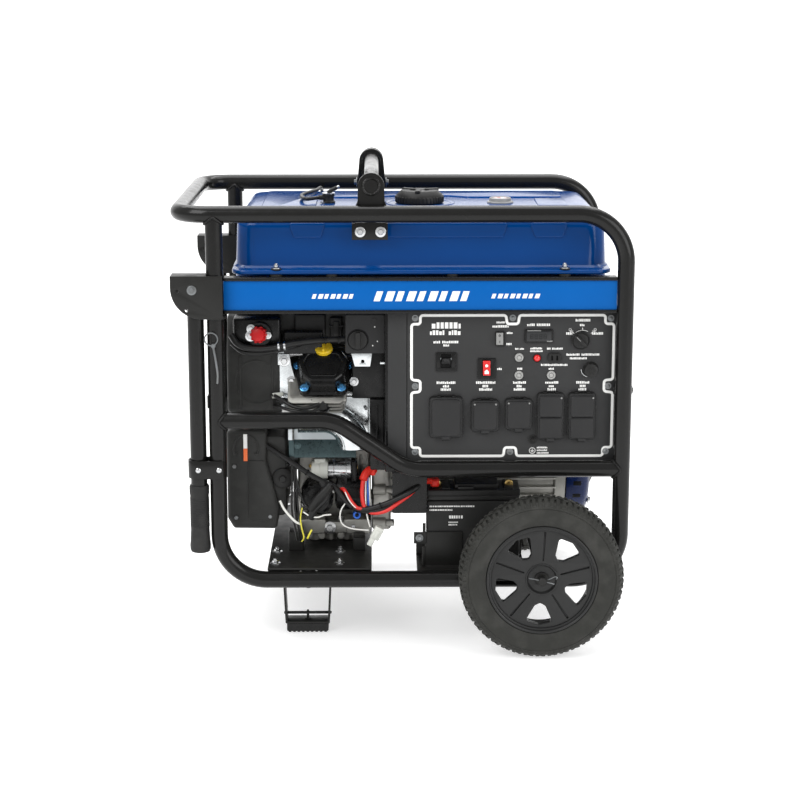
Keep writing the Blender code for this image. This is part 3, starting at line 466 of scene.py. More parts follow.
def loft(shape, rings, cap=True):
    """Skins rings of points, each with as many points as the last."""
    part = bmesh.new()
    loops = [[part.verts.new(point) for point in ring] for ring in rings]
    count = len(loops[0])
    for near, far in zip(loops, loops[1:]):
        for i in range(count):
            j = (i + 1) % count
            part.faces.new((near[i], near[j], far[j], far[i]))
    if cap:
        part.faces.new(loops[0])
        part.faces.new(loops[-1])
    bmesh.ops.recalc_face_normals(part, faces=part.faces)
    absorb(shape, part)


def soft_rectangle(middle_x, half_x, half_y, radius, z, steps=8):
    """A rounded rectangle at height z, centred on the line y = 0."""
    ring = []
    for cx, cy, start in ((1, 1, 0), (-1, 1, 90), (-1, -1, 180), (1, -1, 270)):
        for step in range(steps + 1):
            turn = math.radians(start + 90 * step / steps)
            ring.append((middle_x + cx * (half_x - radius) + radius * math.cos(turn),
                         cy * (half_y - radius) + radius * math.sin(turn), z))
    return ring


# --- Sizes taken from the frame ------------------------------------------------------------------

side_low, side_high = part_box("frame_side_front")
TUBE_R = (side_high.y - side_low.y) / 2
SIDE_Y = -(side_low.y + TUBE_R)
POST_X = side_low.x + TUBE_R
END_X = side_high.x - TUBE_R
TOP_Z = side_high.z - TUBE_R
BOTTOM_Z = side_low.z + TUBE_R
LEFT_END_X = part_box("frame_top_loop")[0].x + TUBE_R
rail_low, rail_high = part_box("frame_mid_rail_front")
RAIL_HIGH_Z = rail_high.z - TUBE_R
RAIL_LOW_Z = rail_low.z + TUBE_R
RAIL_DROP_X = -0.128              # where the mid rail starts to come down
RAIL_FLAT_X = 0.010               # where it is level again
BEND_R = 0.090
LOOP_CORNER_R = 0.060
SEAM_X = END_X - BEND_R - 0.004   # where the top loop meets the side tubes


# --- Frame ---------------------------------------------------------------------------------------

def tube(name, points, bend, node, steps=12):
    """One bent frame tube as a visible piece."""
    shape = bmesh.new()
    sweep(shape, rounded(points, bend, steps), TUBE_R, 32)
    return piece(name, shape, "frame", replaces=(node,), angle=60)


def joint_weld(shape, centre, branch, main, seed):
    """The bead round a tube that meets another of the same size at a right angle."""
    centre, branch, main = Vector(centre), Vector(branch), Vector(main)
    side = main.cross(branch)
    dice = random.Random(seed)
    beads = 30
    path = []
    for i in range(beads * 4):
        turn = 2 * math.pi * i / (beads * 4)
        swell = 0.0005 * math.sin(turn * beads) + dice.uniform(-0.0002, 0.0002)
        reach = math.hypot(TUBE_R * math.sin(turn), 0.004) + 0.0005
        path.append(centre + branch * (reach + swell)
                    + (side * math.cos(turn) + main * math.sin(turn)) * (TUBE_R + 0.0006 + swell))
    sweep(shape, path, 0.0026, 8, closed=True)


def make_frame():
    """The bent tubes of the frame with their welds."""
    loop = [(SEAM_X, -SIDE_Y, TOP_Z), (LEFT_END_X, -SIDE_Y, TOP_Z),
            (LEFT_END_X, SIDE_Y, TOP_Z), (SEAM_X, SIDE_Y, TOP_Z)]
    tube("top_loop", loop, LOOP_CORNER_R, "frame_top_loop", 14)
    welds = bmesh.new()
    for y, place in ((-SIDE_Y, "front"), (SIDE_Y, "rear")):
        side = [(SEAM_X, y, TOP_Z), (END_X, y, TOP_Z), (END_X, y, BOTTOM_Z),
                (POST_X, y, BOTTOM_Z), (POST_X, y, TOP_Z)]
        tube(f"side_tube_{place}", side, BEND_R, f"frame_side_{place}", 16)
        rail = [(POST_X, y, RAIL_HIGH_Z), (RAIL_DROP_X, y, RAIL_HIGH_Z),
                (RAIL_FLAT_X, y, RAIL_LOW_Z), (END_X, y, RAIL_LOW_Z)]
        tube(f"mid_rail_{place}", rail, BEND_R, f"frame_mid_rail_{place}", 8)
        joint_weld(welds, (POST_X, y, TOP_Z), -UP, RIGHT, 11)
        joint_weld(welds, (POST_X, y, RAIL_HIGH_Z), RIGHT, UP, 12)
        joint_weld(welds, (END_X, y, RAIL_LOW_Z), -RIGHT, UP, 13)
        inwards = Vector((0, -math.copysign(1, y), 0))
        joint_weld(welds, (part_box("frame_cross_left")[0].x + TUBE_R, y, BOTTOM_Z), inwards, RIGHT, 14)
        joint_weld(welds, (END_X, y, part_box("frame_cross_right")[0].z + TUBE_R), inwards, UP, 15)
    for node in ("frame_cross_left", "frame_cross_right"):
        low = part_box(node)[0]
        x, z = low.x + TUBE_R, low.z + TUBE_R
        tube(node.replace("frame_", ""), [(x, -SIDE_Y, z), (x, SIDE_Y, z)], 0.01, node)
    piece("tube_welds", welds, "frame", angle=80)


def make_beams():
    """The two deep channels under the tank: black lips, a blue web and plain white flashes on the front."""
    for place in ("front", "rear"):
        low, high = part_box(f"{place}_beam")
        side = -1 if place == "front" else 1
        face = max(abs(low.y), abs(high.y))
        back = min(abs(low.y), abs(high.y))
        lip = 0.0065
        lips = bmesh.new()
        web = bmesh.new()
        for bottom in (low.z, high.z - lip):
            block(lips, (low.x, min(side * back, side * face), bottom),
                  (high.x, max(side * back, side * face), bottom + lip), 0.0012)
        ends = sorted((side * (face - 0.007), side * (face - 0.0035)))
        block(web, (low.x, ends[0], low.z + 0.004), (high.x, ends[1], high.z - 0.004), 0.0004)
        piece(f"beam_lips_{place}", lips, "satin")
        piece(f"beam_web_{place}", web, "beam", replaces=(f"{place}_beam",))
    low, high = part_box("front_beam")
    face = low.y + 0.0035
    middle = (low.z + high.z) / 2 - 0.0015
    flashes = bmesh.new()

    def dashes(start, end, count, height):
        pitch = (end - start) / count
        lean = height * 0.35
        for i in range(count):
            x = start + pitch * i
            width = pitch * (0.72 if i % 2 else 0.58)
            outline = [(x, middle - height / 2), (x + width, middle - height / 2),
                       (x + width + lean, middle + height / 2), (x + lean, middle + height / 2)]
            slab(flashes, outline, face - 0.0004, face, "y")

    dashes(-0.168, -0.088, 7, 0.0085)
    dashes(-0.053, 0.128, 9, 0.0185)
    dashes(0.166, 0.258, 8, 0.0085)
    piece("beam_flashes", flashes, "white")


def make_lift():
    """The bar over the tank, the plates that bolt it to the rails, and the bent eye strap."""
    low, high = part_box("lift_bar")
    eye_low, eye_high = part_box("lift_eye")
    x = (eye_low.x + eye_high.x) / 2
    ear_r = 0.0245
    bar_r = 0.014
    bar_z = high.z - ear_r
    ear_back = 0.2630
    shape = bmesh.new()
    bar(shape, (x, low.y, bar_z), (x, high.y, bar_z), bar_r, 36, 0.002)
    turns = [math.pi * i / 20 for i in range(21)]
    outline = [(x + ear_r * math.cos(t), bar_z + ear_r * math.sin(t)) for t in turns]
    foot = TOP_Z - TUBE_R - 0.002
    outline += [(x - ear_r - 0.0015, foot), (low.x, foot - 0.001), (low.x, low.z),
                (high.x, low.z), (high.x, foot - 0.001), (x + ear_r + 0.0015, foot)]
    for side in (-1, 1):
        near, far = sorted((side * ear_back, side * (ear_back + 0.005)))
        slab(shape, outline, near, far, "y", 0.0008)
        ring = (x, side * (ear_back + 0.0052), bar_z)
        weld_ring(shape, ring, (0, side, 0), bar_r + 0.001, 21)
        for end in (-1, 1):
            gusset = [(x + end * (ear_r + 0.001), foot), (x + end * (ear_r + 0.004), TOP_Z + TUBE_R * 0.92),
                      (x + end * ear_r, TOP_Z + TUBE_R + 0.008)]
            near, far = sorted((side * (SIDE_Y - 0.017), side * (SIDE_Y - 0.012)))
            slab(shape, gusset if end > 0 else gusset[::-1], near, far, "y", 0.0006)
    piece("lift_bar_plates", shape, "frame", replaces=("lift_bar",))
    bolts = bmesh.new()
    for side in (-1, 1):
        for bolt_x in (x - 0.0205, x + 0.0175):
            hex_bolt(bolts, (bolt_x, side * (ear_back + 0.005), (low.z + foot) / 2 - 0.001),
                     (0, side, 0), 0.0115)
    piece("lift_plate_bolts", bolts, "zinc")
    strap = bmesh.new()
    half = 0.024
    top = eye_high.z - half
    turns = [math.pi * i / 16 for i in range(17)]
    foot_spread = 0.0045
    inner = half - 0.006
    outline = [(x + half + foot_spread, eye_low.z)]
    outline += [(x + half * math.cos(t), top + half * math.sin(t)) for t in turns]
    outline += [(x - half - foot_spread, eye_low.z), (x - inner - foot_spread, eye_low.z)]
    outline += [(x - inner * math.cos(t), top + inner * math.sin(t)) for t in turns]
    outline += [(x + inner + foot_spread, eye_low.z)]
    slab(strap, outline, eye_low.y, eye_high.y, "y", 0.0015, segments=3)
    piece("lift_eye_strap", strap, "frame", replaces=("lift_eye",))
    closing = bmesh.new()
    bolt_z = eye_low.z + 0.0075
    bar(closing, (eye_low.x + 0.004, 0, bolt_z), (eye_high.x - 0.004, 0, bolt_z), 0.004, 16)
    hex_bolt(closing, (x - half - 0.0045, 0, bolt_z), -RIGHT, 0.0110)
    hex_bolt(closing, (x + half + 0.0045, 0, bolt_z), RIGHT, 0.0110)
    piece("lift_eye_bolt", closing, "steel")


# --- Tank ----------------------------------------------------------------------------------------

def make_tank():
    """The fuel tank with its flange, pressings, mounts and fittings."""
    low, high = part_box("fuel_tank")
    middle = (low.x + high.x) / 2
    body_half = middle - (-0.3150)
    flange_low, flange_high = 0.7205, 0.7285
    top = 0.8215
    half_y = 0.2510
    shape = bmesh.new()

    def ring(z, inset, radius):
        share = (z - low.z) / (top - low.z)
        return soft_rectangle(middle, body_half * (1 - 0.015 * share) - inset,
                              half_y * (1 - 0.07 * share) - inset, radius, z, 10)

    rings = []
    edge = 0.022
    for i in range(6):
        t = math.pi / 2 * i / 5
        rings.append(ring(low.z + edge * (1 - math.cos(t)), edge * (1 - math.sin(t)), 0.045))
    rings.append(ring(flange_low - 0.006, 0.0, 0.045))
    rings.append(ring(flange_low, -0.004, 0.048))
    rings.append(ring(flange_high, -0.005, 0.048))
    flare = 0.004
    for i in range(1, 6):
        t = math.pi / 2 * i / 5
        rings.append(ring(flange_high + flare * math.sin(t), -flare * (1 - math.sin(t)) - 0.0005, 0.046))
    rings.append(ring(0.770, 0.0, 0.040))
    edge = 0.020
    for i in range(9):
        t = math.pi / 2 * i / 8
        rings.append(ring(top - edge + edge * math.sin(t), edge * (1 - math.cos(t)), 0.040 - 0.012 * i / 8))
    rings.append(ring(top + 0.0008, 0.060, 0.030))
    loft(shape, rings)
    flange = rounded([(x, y, 0) for x, y in rectangle(low.x, high.x, low.y, high.y)], 0.030, 8, closed=True)
    slab(shape, [(p.x, p.y) for p in flange], flange_low, flange_high, "z", 0.0025, segments=3)

    def pad(points, height, soft=0.010, bevel=0.0025):
        outline = rounded([(x, y, 0) for x, y in points], soft, 5, closed=True)
        slab(shape, [(p.x, p.y) for p in outline], top - 0.004, top + height, "z", bevel, segments=3)

    pad([(-0.272, -0.195), (-0.190, -0.195), (-0.165, -0.160), (-0.165, 0.160), (-0.190, 0.195),
         (-0.272, 0.195)], 0.0035, 0.014)
    pad([(-0.140, 0.085), (-0.060, 0.085), (-0.020, 0.110), (0.100, 0.110), (0.140, 0.085), (0.330, 0.085),
         (0.330, 0.195), (-0.140, 0.195)], 0.0035, 0.014)
    pad([(-0.140, -0.195), (0.330, -0.195), (0.330, -0.085), (0.140, -0.085), (0.100, -0.110),
         (-0.020, -0.110), (-0.060, -0.085), (-0.140, -0.085)], 0.0030, 0.014)
    pad([(0.270, -0.065), (0.330, -0.065), (0.330, 0.065), (0.270, 0.065)], 0.0030, 0.010)
    cap_low, cap_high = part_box("fuel_cap")
    cap_x = (cap_low.x + cap_high.x) / 2
    lathe(shape, [(0.072, -0.004), (0.070, 0.0018), (0.066, 0.0028), (0.061, 0.0018), (0.056, -0.001),
                  (0.040, -0.0012), (0.034, 0.001), (0.033, 0.013), (0.0245, 0.013), (0.024, -0.002)],
          (cap_x, 0, top), UP, 56)

    slope = (half_y * 0.07) / (top - low.z)

    def emboss(left, right, side):
        """A raised trapezoid hanging from the top edge of the front or the back."""
        bottom, head = 0.7835, 0.812
        wide = 0.010
        points = [(left + wide, bottom), (right - wide, bottom), (right, head), (left, head)]
        outline = rounded([(x, 0, z) for x, z in points], 0.005, 5, closed=True)
        outline = [(p.x, p.z - bottom) for p in outline]
        share = (bottom - low.z) / (top - low.z)
        y = side * half_y * (1 - 0.07 * share)
        tilt = Matrix.Translation((0, y, bottom)) @ Matrix.Rotation(side * math.atan(slope), 4, "X")
        near, far = sorted((-side * 0.004, side * 0.0028))
        slab(shape, outline, near, far, "y", 0.0022, place=tilt, segments=3)

    for side in (-1, 1):
        emboss(-0.212, -0.142, side)
        emboss(-0.040, 0.200, side)
        emboss(0.240, 0.312, side)
    piece("tank_shell", shape, "tank", replaces=("fuel_tank",), angle=32)

    mounts = bmesh.new()
    studs = bmesh.new()
    beam_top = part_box("front_beam")[1].z
    for side in (-1, 1):
        y = side * (abs(low.y) - 0.0075)
        for x in (-0.234, 0.304):
            bar(mounts, (x, y, beam_top - 0.0005), (x, y, flange_low + 0.0005), 0.0115, 24)
            bar(mounts, (x, y, flange_high), (x, y, flange_high + 0.0032), 0.0100, 24, 0.001)
            lathe(studs, [(0.0090, 0.0), (0.0090, 0.0012), (0.0060, 0.0016), (0.0, 0.0016)],
                  (x, y, flange_high + 0.0032), UP, 24)
            hex_bolt(studs, (x, y, flange_high + 0.0045), UP, 0.0105, washer=False)
            bar(studs, (x, y, flange_high + 0.008), (x, y, flange_high + 0.0125), 0.0028, 12, 0.0008)
        for x in (-0.131, 0.094):
            bar(mounts, (x, y, beam_top - 0.0005), (x, y, flange_low + 0.0005), 0.0105, 20)
    piece("tank_mount_rubbers", mounts, "rubber")
    piece("tank_mount_nuts", studs, "zinc")
    make_tank_top(top, cap_x)


def make_tank_top(top, cap_x):
    """The ribbed cap, the fuel gauge and the vent valve with its hose."""
    cap_low, cap_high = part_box("fuel_cap")
    radius = (cap_high.x - cap_low.x) / 2
    cap = bmesh.new()
    height = cap_high.z - cap_low.z
    skirt = 0.012
    lathe(cap, [(0.034, 0.0), (radius - 0.002, 0.0), (radius - 0.0012, 0.001), (radius - 0.0012, skirt),
                (radius - 0.003, skirt + 0.004), (radius - 0.012, height - 0.0005), (0.020, height),
                (0.018, height - 0.0015), (0.0, height - 0.0015)], (cap_x, 0, cap_low.z), UP, 64)
    ribs = 40
    for i in range(ribs):
        turn = 2 * math.pi * i / ribs
        place = (Matrix.Translation((cap_x, 0, cap_low.z)) @ Matrix.Rotation(turn, 4, "Z"))
        block(cap, (radius - 0.004, -0.0019, 0.0012), (radius + 0.0002, 0.0019, skirt + 0.001), 0.0008, 2,
              place)
    for i in range(3):
        turn = 2 * math.pi * i / 3 + 0.4
        place = Matrix.Translation((cap_x, 0, cap_low.z)) @ Matrix.Rotation(turn, 4, "Z")
        block(cap, (0.012, -0.005, height - 0.004), (radius - 0.008, 0.005, height + 0.0022), 0.002, 3, place)
    piece("tank_cap", cap, "plastic", "filler_cap", replaces=("fuel_cap",))

    gauge_x = 0.199
    rim = bmesh.new()
    lathe(rim, [(0.026, -0.002), (0.026, 0.003), (0.0225, 0.0045), (0.0215, 0.010), (0.0195, 0.0115),
                (0.0180, 0.0105), (0.0180, 0.009), (0.0, 0.009)], (gauge_x, 0, top), UP, 48)
    for turn in range(5):
        angle = 2 * math.pi * turn / 5
        socket_screw(rim, (gauge_x + 0.0238 * math.cos(angle), 0.0238 * math.sin(angle), top + 0.0035), UP,
                     0.004)
    piece("fuel_gauge_body", rim, "grey")
    dial = bmesh.new()
    lathe(dial, [(0.0176, 0.0), (0.0, 0.0006)], (gauge_x, 0, top + 0.0092), UP, 40)
    piece("fuel_gauge_dial", dial, "white")
    marks = bmesh.new()
    for i in range(5):
        place = Matrix.Translation((gauge_x, 0, top + 0.0098)) @ Matrix.Rotation(math.radians(45 * i), 4, "Z")
        block(marks, (0.012, -0.0005, 0), (0.0155, 0.0005, 0.0003), place=place)
    needle = Matrix.Translation((gauge_x, 0, top + 0.0100)) @ Matrix.Rotation(math.radians(120), 4, "Z")
    block(marks, (-0.002, -0.0009, 0), (0.013, 0.0009, 0.0004), place=needle)
    piece("fuel_gauge_marks", marks, "red")

    vent = bmesh.new()
    vent_x = -0.142
    lathe(vent, [(0.013, -0.002), (0.013, 0.004), (0.0105, 0.006), (0.0105, 0.013), (0.012, 0.0145),
                 (0.012, 0.019), (0.0, 0.020)], (vent_x, 0, top), UP, 36)
    bar(vent, (vent_x - 0.002, 0, top + 0.021), (vent_x + 0.017, 0.004, top + 0.031), 0.0040, 16, 0.001)
    bar(vent, (vent_x, 0, top + 0.012), (vent_x - 0.019, -0.006, top + 0.012), 0.0052, 16, 0.001)
    piece("vent_valve", vent, "plastic")
    tip = bmesh.new()
    bar(tip, (vent_x + 0.016, 0.0038, top + 0.030), (vent_x + 0.021, 0.005, top + 0.0335), 0.0030, 12, 0.0008)
    lathe(tip, [(0.0132, 0.0), (0.0132, 0.0012), (0.0, 0.0012)], (vent_x, 0, top + 0.0195), UP, 30)
    hex_bolt(tip, (vent_x - 0.012, -0.013, top + 0.002), UP, 0.007)
    piece("vent_valve_fittings", tip, "zinc")
    wire("vent_hose", [(vent_x - 0.019, -0.006, top + 0.012), (vent_x - 0.045, -0.020, top + 0.011),
                       (vent_x - 0.055, 0.060, top + 0.010), (vent_x - 0.030, 0.140, top + 0.010),
                       (vent_x - 0.020, 0.215, top + 0.006), (vent_x - 0.020, 0.252, top - 0.030),
                       (vent_x - 0.020, 0.256, top - 0.090)], 0.0038, "cable")


# --- Handles -------------------------------------------------------------------------------------

def make_handles():
    """The two folding handles."""
    for place in ("front", "rear"):
        make_bracket(place)
        make_arm(place)


def make_bracket(place):
    """The two cheeks on a post, the flange between them, the pivot bolt, and the locking pin on its ring."""
    low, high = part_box(f"handle_bracket_{place}")
    y = -SIDE_Y if place == "front" else SIDE_Y
    side = math.copysign(1, y)
    z_low, z_high = 0.641, 0.722
    inner, outer = 0.0185, 0.0215
    pivot_x, pivot_z = -0.389, 0.696
    round_r = z_high - z_low - 0.022
    outline = [(high.x, z_low), (high.x, z_high), (low.x, z_high)]
    turns = [math.pi / 2 * i / 14 for i in range(15)]
    outline += [(low.x + round_r - round_r * math.cos(t),
                 z_low + round_r - round_r * math.sin(t)) for t in turns]
    holes = [circle(low.x + 0.013, z_high - 0.028, 0.0032, 20),
             circle(low.x + 0.030, z_low + 0.017, 0.0032, 20)]
    shape = bmesh.new()
    for side_of_post in (-1, 1):
        near, far = sorted((y + side_of_post * inner, y + side_of_post * outer))
        slab(shape, outline, near, far, "y", 0.0007, holes=[hole[::-1] for hole in holes])
    block(shape, (low.x, y - outer + 0.0005, z_high - 0.003),
          (POST_X - TUBE_R + 0.001, y + outer - 0.0005, z_high),
          0.0008)
    weld_ring(shape, (POST_X, y, z_low + 0.001), UP, TUBE_R + 0.0012, 31)
    piece(f"bracket_{place}", shape, "bracket", replaces=(f"handle_bracket_{place}",))
    bolt = bmesh.new()
    bar(bolt, (pivot_x, y - outer, pivot_z), (pivot_x, y + outer, pivot_z), 0.0048, 20)
    for end in (-1, 1):
        hex_bolt(bolt, (pivot_x, y + end * outer, pivot_z), (0, end, 0), 0.0105)
    piece(f"pivot_bolt_{place}", bolt, "steel")
    pin = bmesh.new()
    ring_x, ring_z = -0.355, 0.604
    front_y = y + side * (TUBE_R + 0.0050)
    ring = [(ring_x + 0.012 * math.cos(2 * math.pi * i / 40), front_y,
             ring_z + 0.012 * math.sin(2 * math.pi * i / 40))
            for i in range(40)]
    sweep(pin, ring, 0.0013, 10, closed=True)
    bar(pin, (ring_x + 0.004, y + side * TUBE_R * 0.8, ring_z - 0.013),
        (ring_x + 0.004, front_y + side * 0.002,
        ring_z - 0.013), 0.0042, 18, 0.001)
    sweep(pin, smooth_path([(ring_x + 0.004, front_y, ring_z - 0.016),
                            (ring_x + 0.008, front_y + side * 0.0015, 0.565),
                            (ring_x + 0.011, front_y, 0.538),
                            (ring_x + 0.010, front_y - side * 0.001, 0.520)], 6),
          0.0022, 10, round_ends=True)
    piece(f"lock_pin_{place}", pin, "steel")
    tab = bmesh.new()
    block(tab, (-0.3655, y - 0.010, 0.470), (-0.3625, y + 0.010, 0.494), 0.0010)
    piece(f"post_tab_{place}", tab, "frame")


def make_arm(place):
    """The tube that hangs in the bracket, the spring clip that holds it to the post, and the grip."""
    body = f"handle_{place}"
    grip_low, grip_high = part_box(f"handle_grip_{place}")
    x = (grip_low.x + grip_high.x) / 2
    y = (grip_low.y + grip_high.y) / 2
    grip_r = (grip_high.x - grip_low.x) / 2
    arm_r = 0.0155
    arm_top = 0.706
    pivot_x, pivot_z = -0.389, 0.696
    arm = bmesh.new()
    sides = 36
    profile = [(0.0, grip_low.z + 0.006), (arm_r, grip_low.z + 0.006), (arm_r, arm_top - 0.0015),
               (arm_r - 0.0015, arm_top), (arm_r - 0.003, arm_top), (arm_r - 0.003, arm_top - 0.050),
               (0.0, arm_top - 0.052)]
    lathe(arm, profile, (x, y, 0), UP, sides)
    for end in (-1, 1):
        lathe(arm, [(0.0055, 0.0), (0.0085, 0.0), (0.0085, 0.0016), (0.0055, 0.0016)],
              (pivot_x, y + end * (arm_r - 0.0008), pivot_z), (0, end, 0), 24, closed=True)
    clip_low, clip_high = 0.335, 0.370
    inner, outer = 0.0172, 0.0200
    open_x = -0.337
    turns = [math.pi / 2 + math.pi * i / 20 for i in range(21)]
    outline = [(open_x, outer)]
    outline += [(x + outer * math.cos(t), outer * math.sin(t)) for t in turns]
    outline += [(open_x, -outer), (open_x + 0.002, -inner), (open_x - 0.002, -inner)]
    outline += [(x + inner * math.cos(t), -inner * math.sin(t)) for t in turns]
    outline += [(open_x - 0.002, inner), (open_x + 0.002, inner)]
    slab(arm, [(px, y + across) for px, across in outline], clip_low, clip_high, "z", 0.0006)
    piece(f"arm_{place}", arm, "frame", body, replaces=(f"handle_arm_{place}",))
    rivets = bmesh.new()
    middle = (clip_low + clip_high) / 2
    for end in (-1, 1):
        dome = [(0.0050, 0.0), (0.0048, 0.0012), (0.0036, 0.0022), (0.0, 0.0026)]
        lathe(rivets, dome, (x + 0.0005, y + end * outer, middle), (0, end, 0), 24)
        lathe(rivets, dome, (open_x - 0.008, y + end * outer, middle), (0, end, 0), 20)
    piece(f"clip_rivets_{place}", rivets, "zinc", body)
    grip = bmesh.new()
    low, high = grip_low.z, grip_high.z
    profile = [(0.0, low), (grip_r - 0.005, low), (grip_r - 0.0012, low + 0.0015),
               (grip_r + 0.0006, low + 0.006),
               (grip_r + 0.0008, low + 0.014), (grip_r - 0.0002, low + 0.024), (grip_r - 0.0012, low + 0.045)]
    ridge = low + 0.050
    while ridge < high - 0.026:
        profile += [(grip_r - 0.0012, ridge), (grip_r - 0.0006, ridge + 0.0006),
                    (grip_r - 0.0006, ridge + 0.0020),
                    (grip_r - 0.0012, ridge + 0.0026)]
        ridge += 0.0042
    profile += [(grip_r - 0.0012, high - 0.020), (grip_r - 0.0002, high - 0.016),
                (grip_r - 0.0002, high - 0.003),
                (grip_r - 0.0015, high), (arm_r, high)]
    lathe(grip, profile, (x, y, 0), UP, 40)
    piece(f"grip_{place}", grip, "rubber", body, replaces=(f"handle_grip_{place}",), angle=30)


# --- Wheels and feet -----------------------------------------------------------------------------

def make_wheels():
    """The two wheels on their axle."""
    for place, side in (("front", -1), ("rear", 1)):
        low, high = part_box(f"tyre_{place}")
        centre = (low + high) / 2
        make_tyre(place, centre, side, (high.z - low.z) / 2, (high.y - low.y) / 2)
        make_rim(place, centre, side, (high.y - low.y) / 2)


def make_tyre(place, centre, side, radius, half):
    """A solid tyre with plain walls and a blocked tread."""
    body = f"wheel_{place}"
    bead = 0.1050
    base = radius - 0.0042
    wall = [(bead, half - 0.0065), (bead + 0.0012, half - 0.0040), (bead + 0.0040, half - 0.0030),
            (bead + 0.0065, half - 0.0022), (bead + 0.0095, half - 0.0006), (bead + 0.020, half),
            (base - 0.014, half - 0.0012), (base - 0.0125, half - 0.0026), (base - 0.0110, half - 0.0018),
            (base - 0.006, half - 0.0050), (base - 0.0015, half - 0.0100), (base, half - 0.0170)]
    profile = wall + [(r, -h) for r, h in reversed(wall)]
    shape = bmesh.new()
    axis = (0, side, 0)
    lathe(shape, profile, centre, axis, 128, closed=True)
    frame_turn = facing(axis, centre)
    shoulder = 84
    for i in range(shoulder):
        for end in (-1, 1):
            turn = 2 * math.pi * (i + (0.5 if end > 0 else 0.0)) / shoulder
            place_lug = frame_turn @ Matrix.Rotation(turn, 4, "Z")
            heights = sorted((end * (half - 0.0030), end * (half - 0.0200)))
            part = bmesh.new()
            block(part, (base - 0.006, -0.0036, heights[0]), (radius, 0.0036, heights[1]), 0.0009, 1)
            for vertex in part.verts:
                outer = max(abs(vertex.co.z) - (half - 0.0170), 0.0) / 0.0140
                vertex.co.x -= 0.0105 * outer ** 2
            absorb(shape, part, place_lug)
    middle = 42
    for i in range(middle):
        for end in (-1, 1):
            turn = 2 * math.pi * (i + (0.5 if end > 0 else 0.0)) / middle
            slant = Matrix.Translation((base, 0, end * 0.0070)) @ Matrix.Rotation(end * 0.45, 4, "X")
            block(shape, (-0.003, -0.0075, -0.0055), (radius - base - 0.0002, 0.0075, 0.0055), 0.0008, 1,
                  frame_turn @ Matrix.Rotation(turn, 4, "Z") @ slant)
    piece(f"tyre_body_{place}", shape, "tyre", body, replaces=(f"tyre_{place}",), angle=28)


def make_rim(place, centre, side, half):
    """A moulded rim: barrel, ridge, five double spokes and a recessed hub."""
    body = f"wheel_{place}"
    axis = (0, side, 0)
    rim_r = 0.1050
    shape = bmesh.new()
    lathe(shape, [(rim_r, half - 0.0060), (rim_r - 0.0005, half - 0.0030), (rim_r - 0.0030, half - 0.0022),
                  (rim_r - 0.0050, half - 0.0034), (rim_r - 0.0062, half - 0.0075),
                  (rim_r - 0.0090, half - 0.0085),
                  (rim_r - 0.0095, 0.008 - half), (rim_r - 0.0030, 0.003 - half), (rim_r, 0.006 - half)],
          centre, axis, 96, closed=True)
    start = math.radians(87)
    windows = []
    grooves = []
    for i in range(5):
        middle = start + math.pi / 5 + 2 * math.pi * i / 5
        corners = [(0.0860, -0.30), (0.0900, 0.0), (0.0860, 0.30), (0.0530, 0.19), (0.0465, 0.0),
                   (0.0530, -0.19)]
        window = [(r * math.cos(middle + a), r * math.sin(middle + a), 0) for r, a in corners]
        windows.append([(p.x, p.y) for p in rounded(window, 0.0050, 4, closed=True)])
        along = start + 2 * math.pi * i / 5
        slot = [(0.036, -0.0011), (0.092, -0.0019), (0.092, 0.0019), (0.036, 0.0011)]
        groove = [(r * math.cos(along) - w * math.sin(along), r * math.sin(along) + w * math.cos(along), 0)
                  for r, w in slot]
        grooves.append([(p.x, p.y) for p in rounded(groove, 0.0008, 3, closed=True)])
    outline = circle(0, 0, rim_r - 0.0088, 96)
    turn = facing(axis, centre)
    if side > 0:
        turn = turn @ Matrix.Rotation(math.pi, 4, "Z")
    slab(shape, outline, half - 0.0240, half - 0.0150, "z", 0.0008,
         holes=windows + [circle(0, 0, 0.010, 24)], place=turn)
    slab(shape, outline, half - 0.0155, half - 0.0105, "z", 0.0014,
         holes=windows + grooves + [circle(0, 0, 0.0300, 40)], place=turn, segments=3)
    for i in range(5):
        middle = start + math.pi / 5 + 2 * math.pi * i / 5
        for lean in (-0.47, 0.47):
            angle = middle + lean
            start_point = turn @ Vector((0.047 * math.cos(angle), 0.047 * math.sin(angle), half - 0.030))
            end_point = turn @ Vector((0.0935 * math.cos(angle), 0.0935 * math.sin(angle), half - 0.030))
            wall = bmesh.new()
            length = (end_point - start_point).length
            block(wall, (0, -0.0015, -0.008), (length, 0.0015, 0.008), 0.0005, 1)
            twist = Matrix.Translation((0.047 * math.cos(angle), 0.047 * math.sin(angle), half - 0.030))
            absorb(shape, wall, turn @ twist @ Matrix.Rotation(angle, 4, "Z"))
    lathe(shape, [(0.0315, half - 0.0125), (0.0305, half - 0.0095), (0.0285, half - 0.0090),
                  (0.0270, half - 0.0105),
                  (0.0240, half - 0.0190), (0.0230, half - 0.0200), (0.0150, half - 0.0200),
                  (0.0140, half - 0.0150), (0.0095, half - 0.0150), (0.0095, 0.004 - half),
                  (0.0260, 0.004 - half),
                  (0.0300, half - 0.0240)], centre, axis, 64, closed=True)
    piece(f"rim_{place}", shape, "wheel", body, replaces=(f"wheel_rim_{place}",), angle=30)


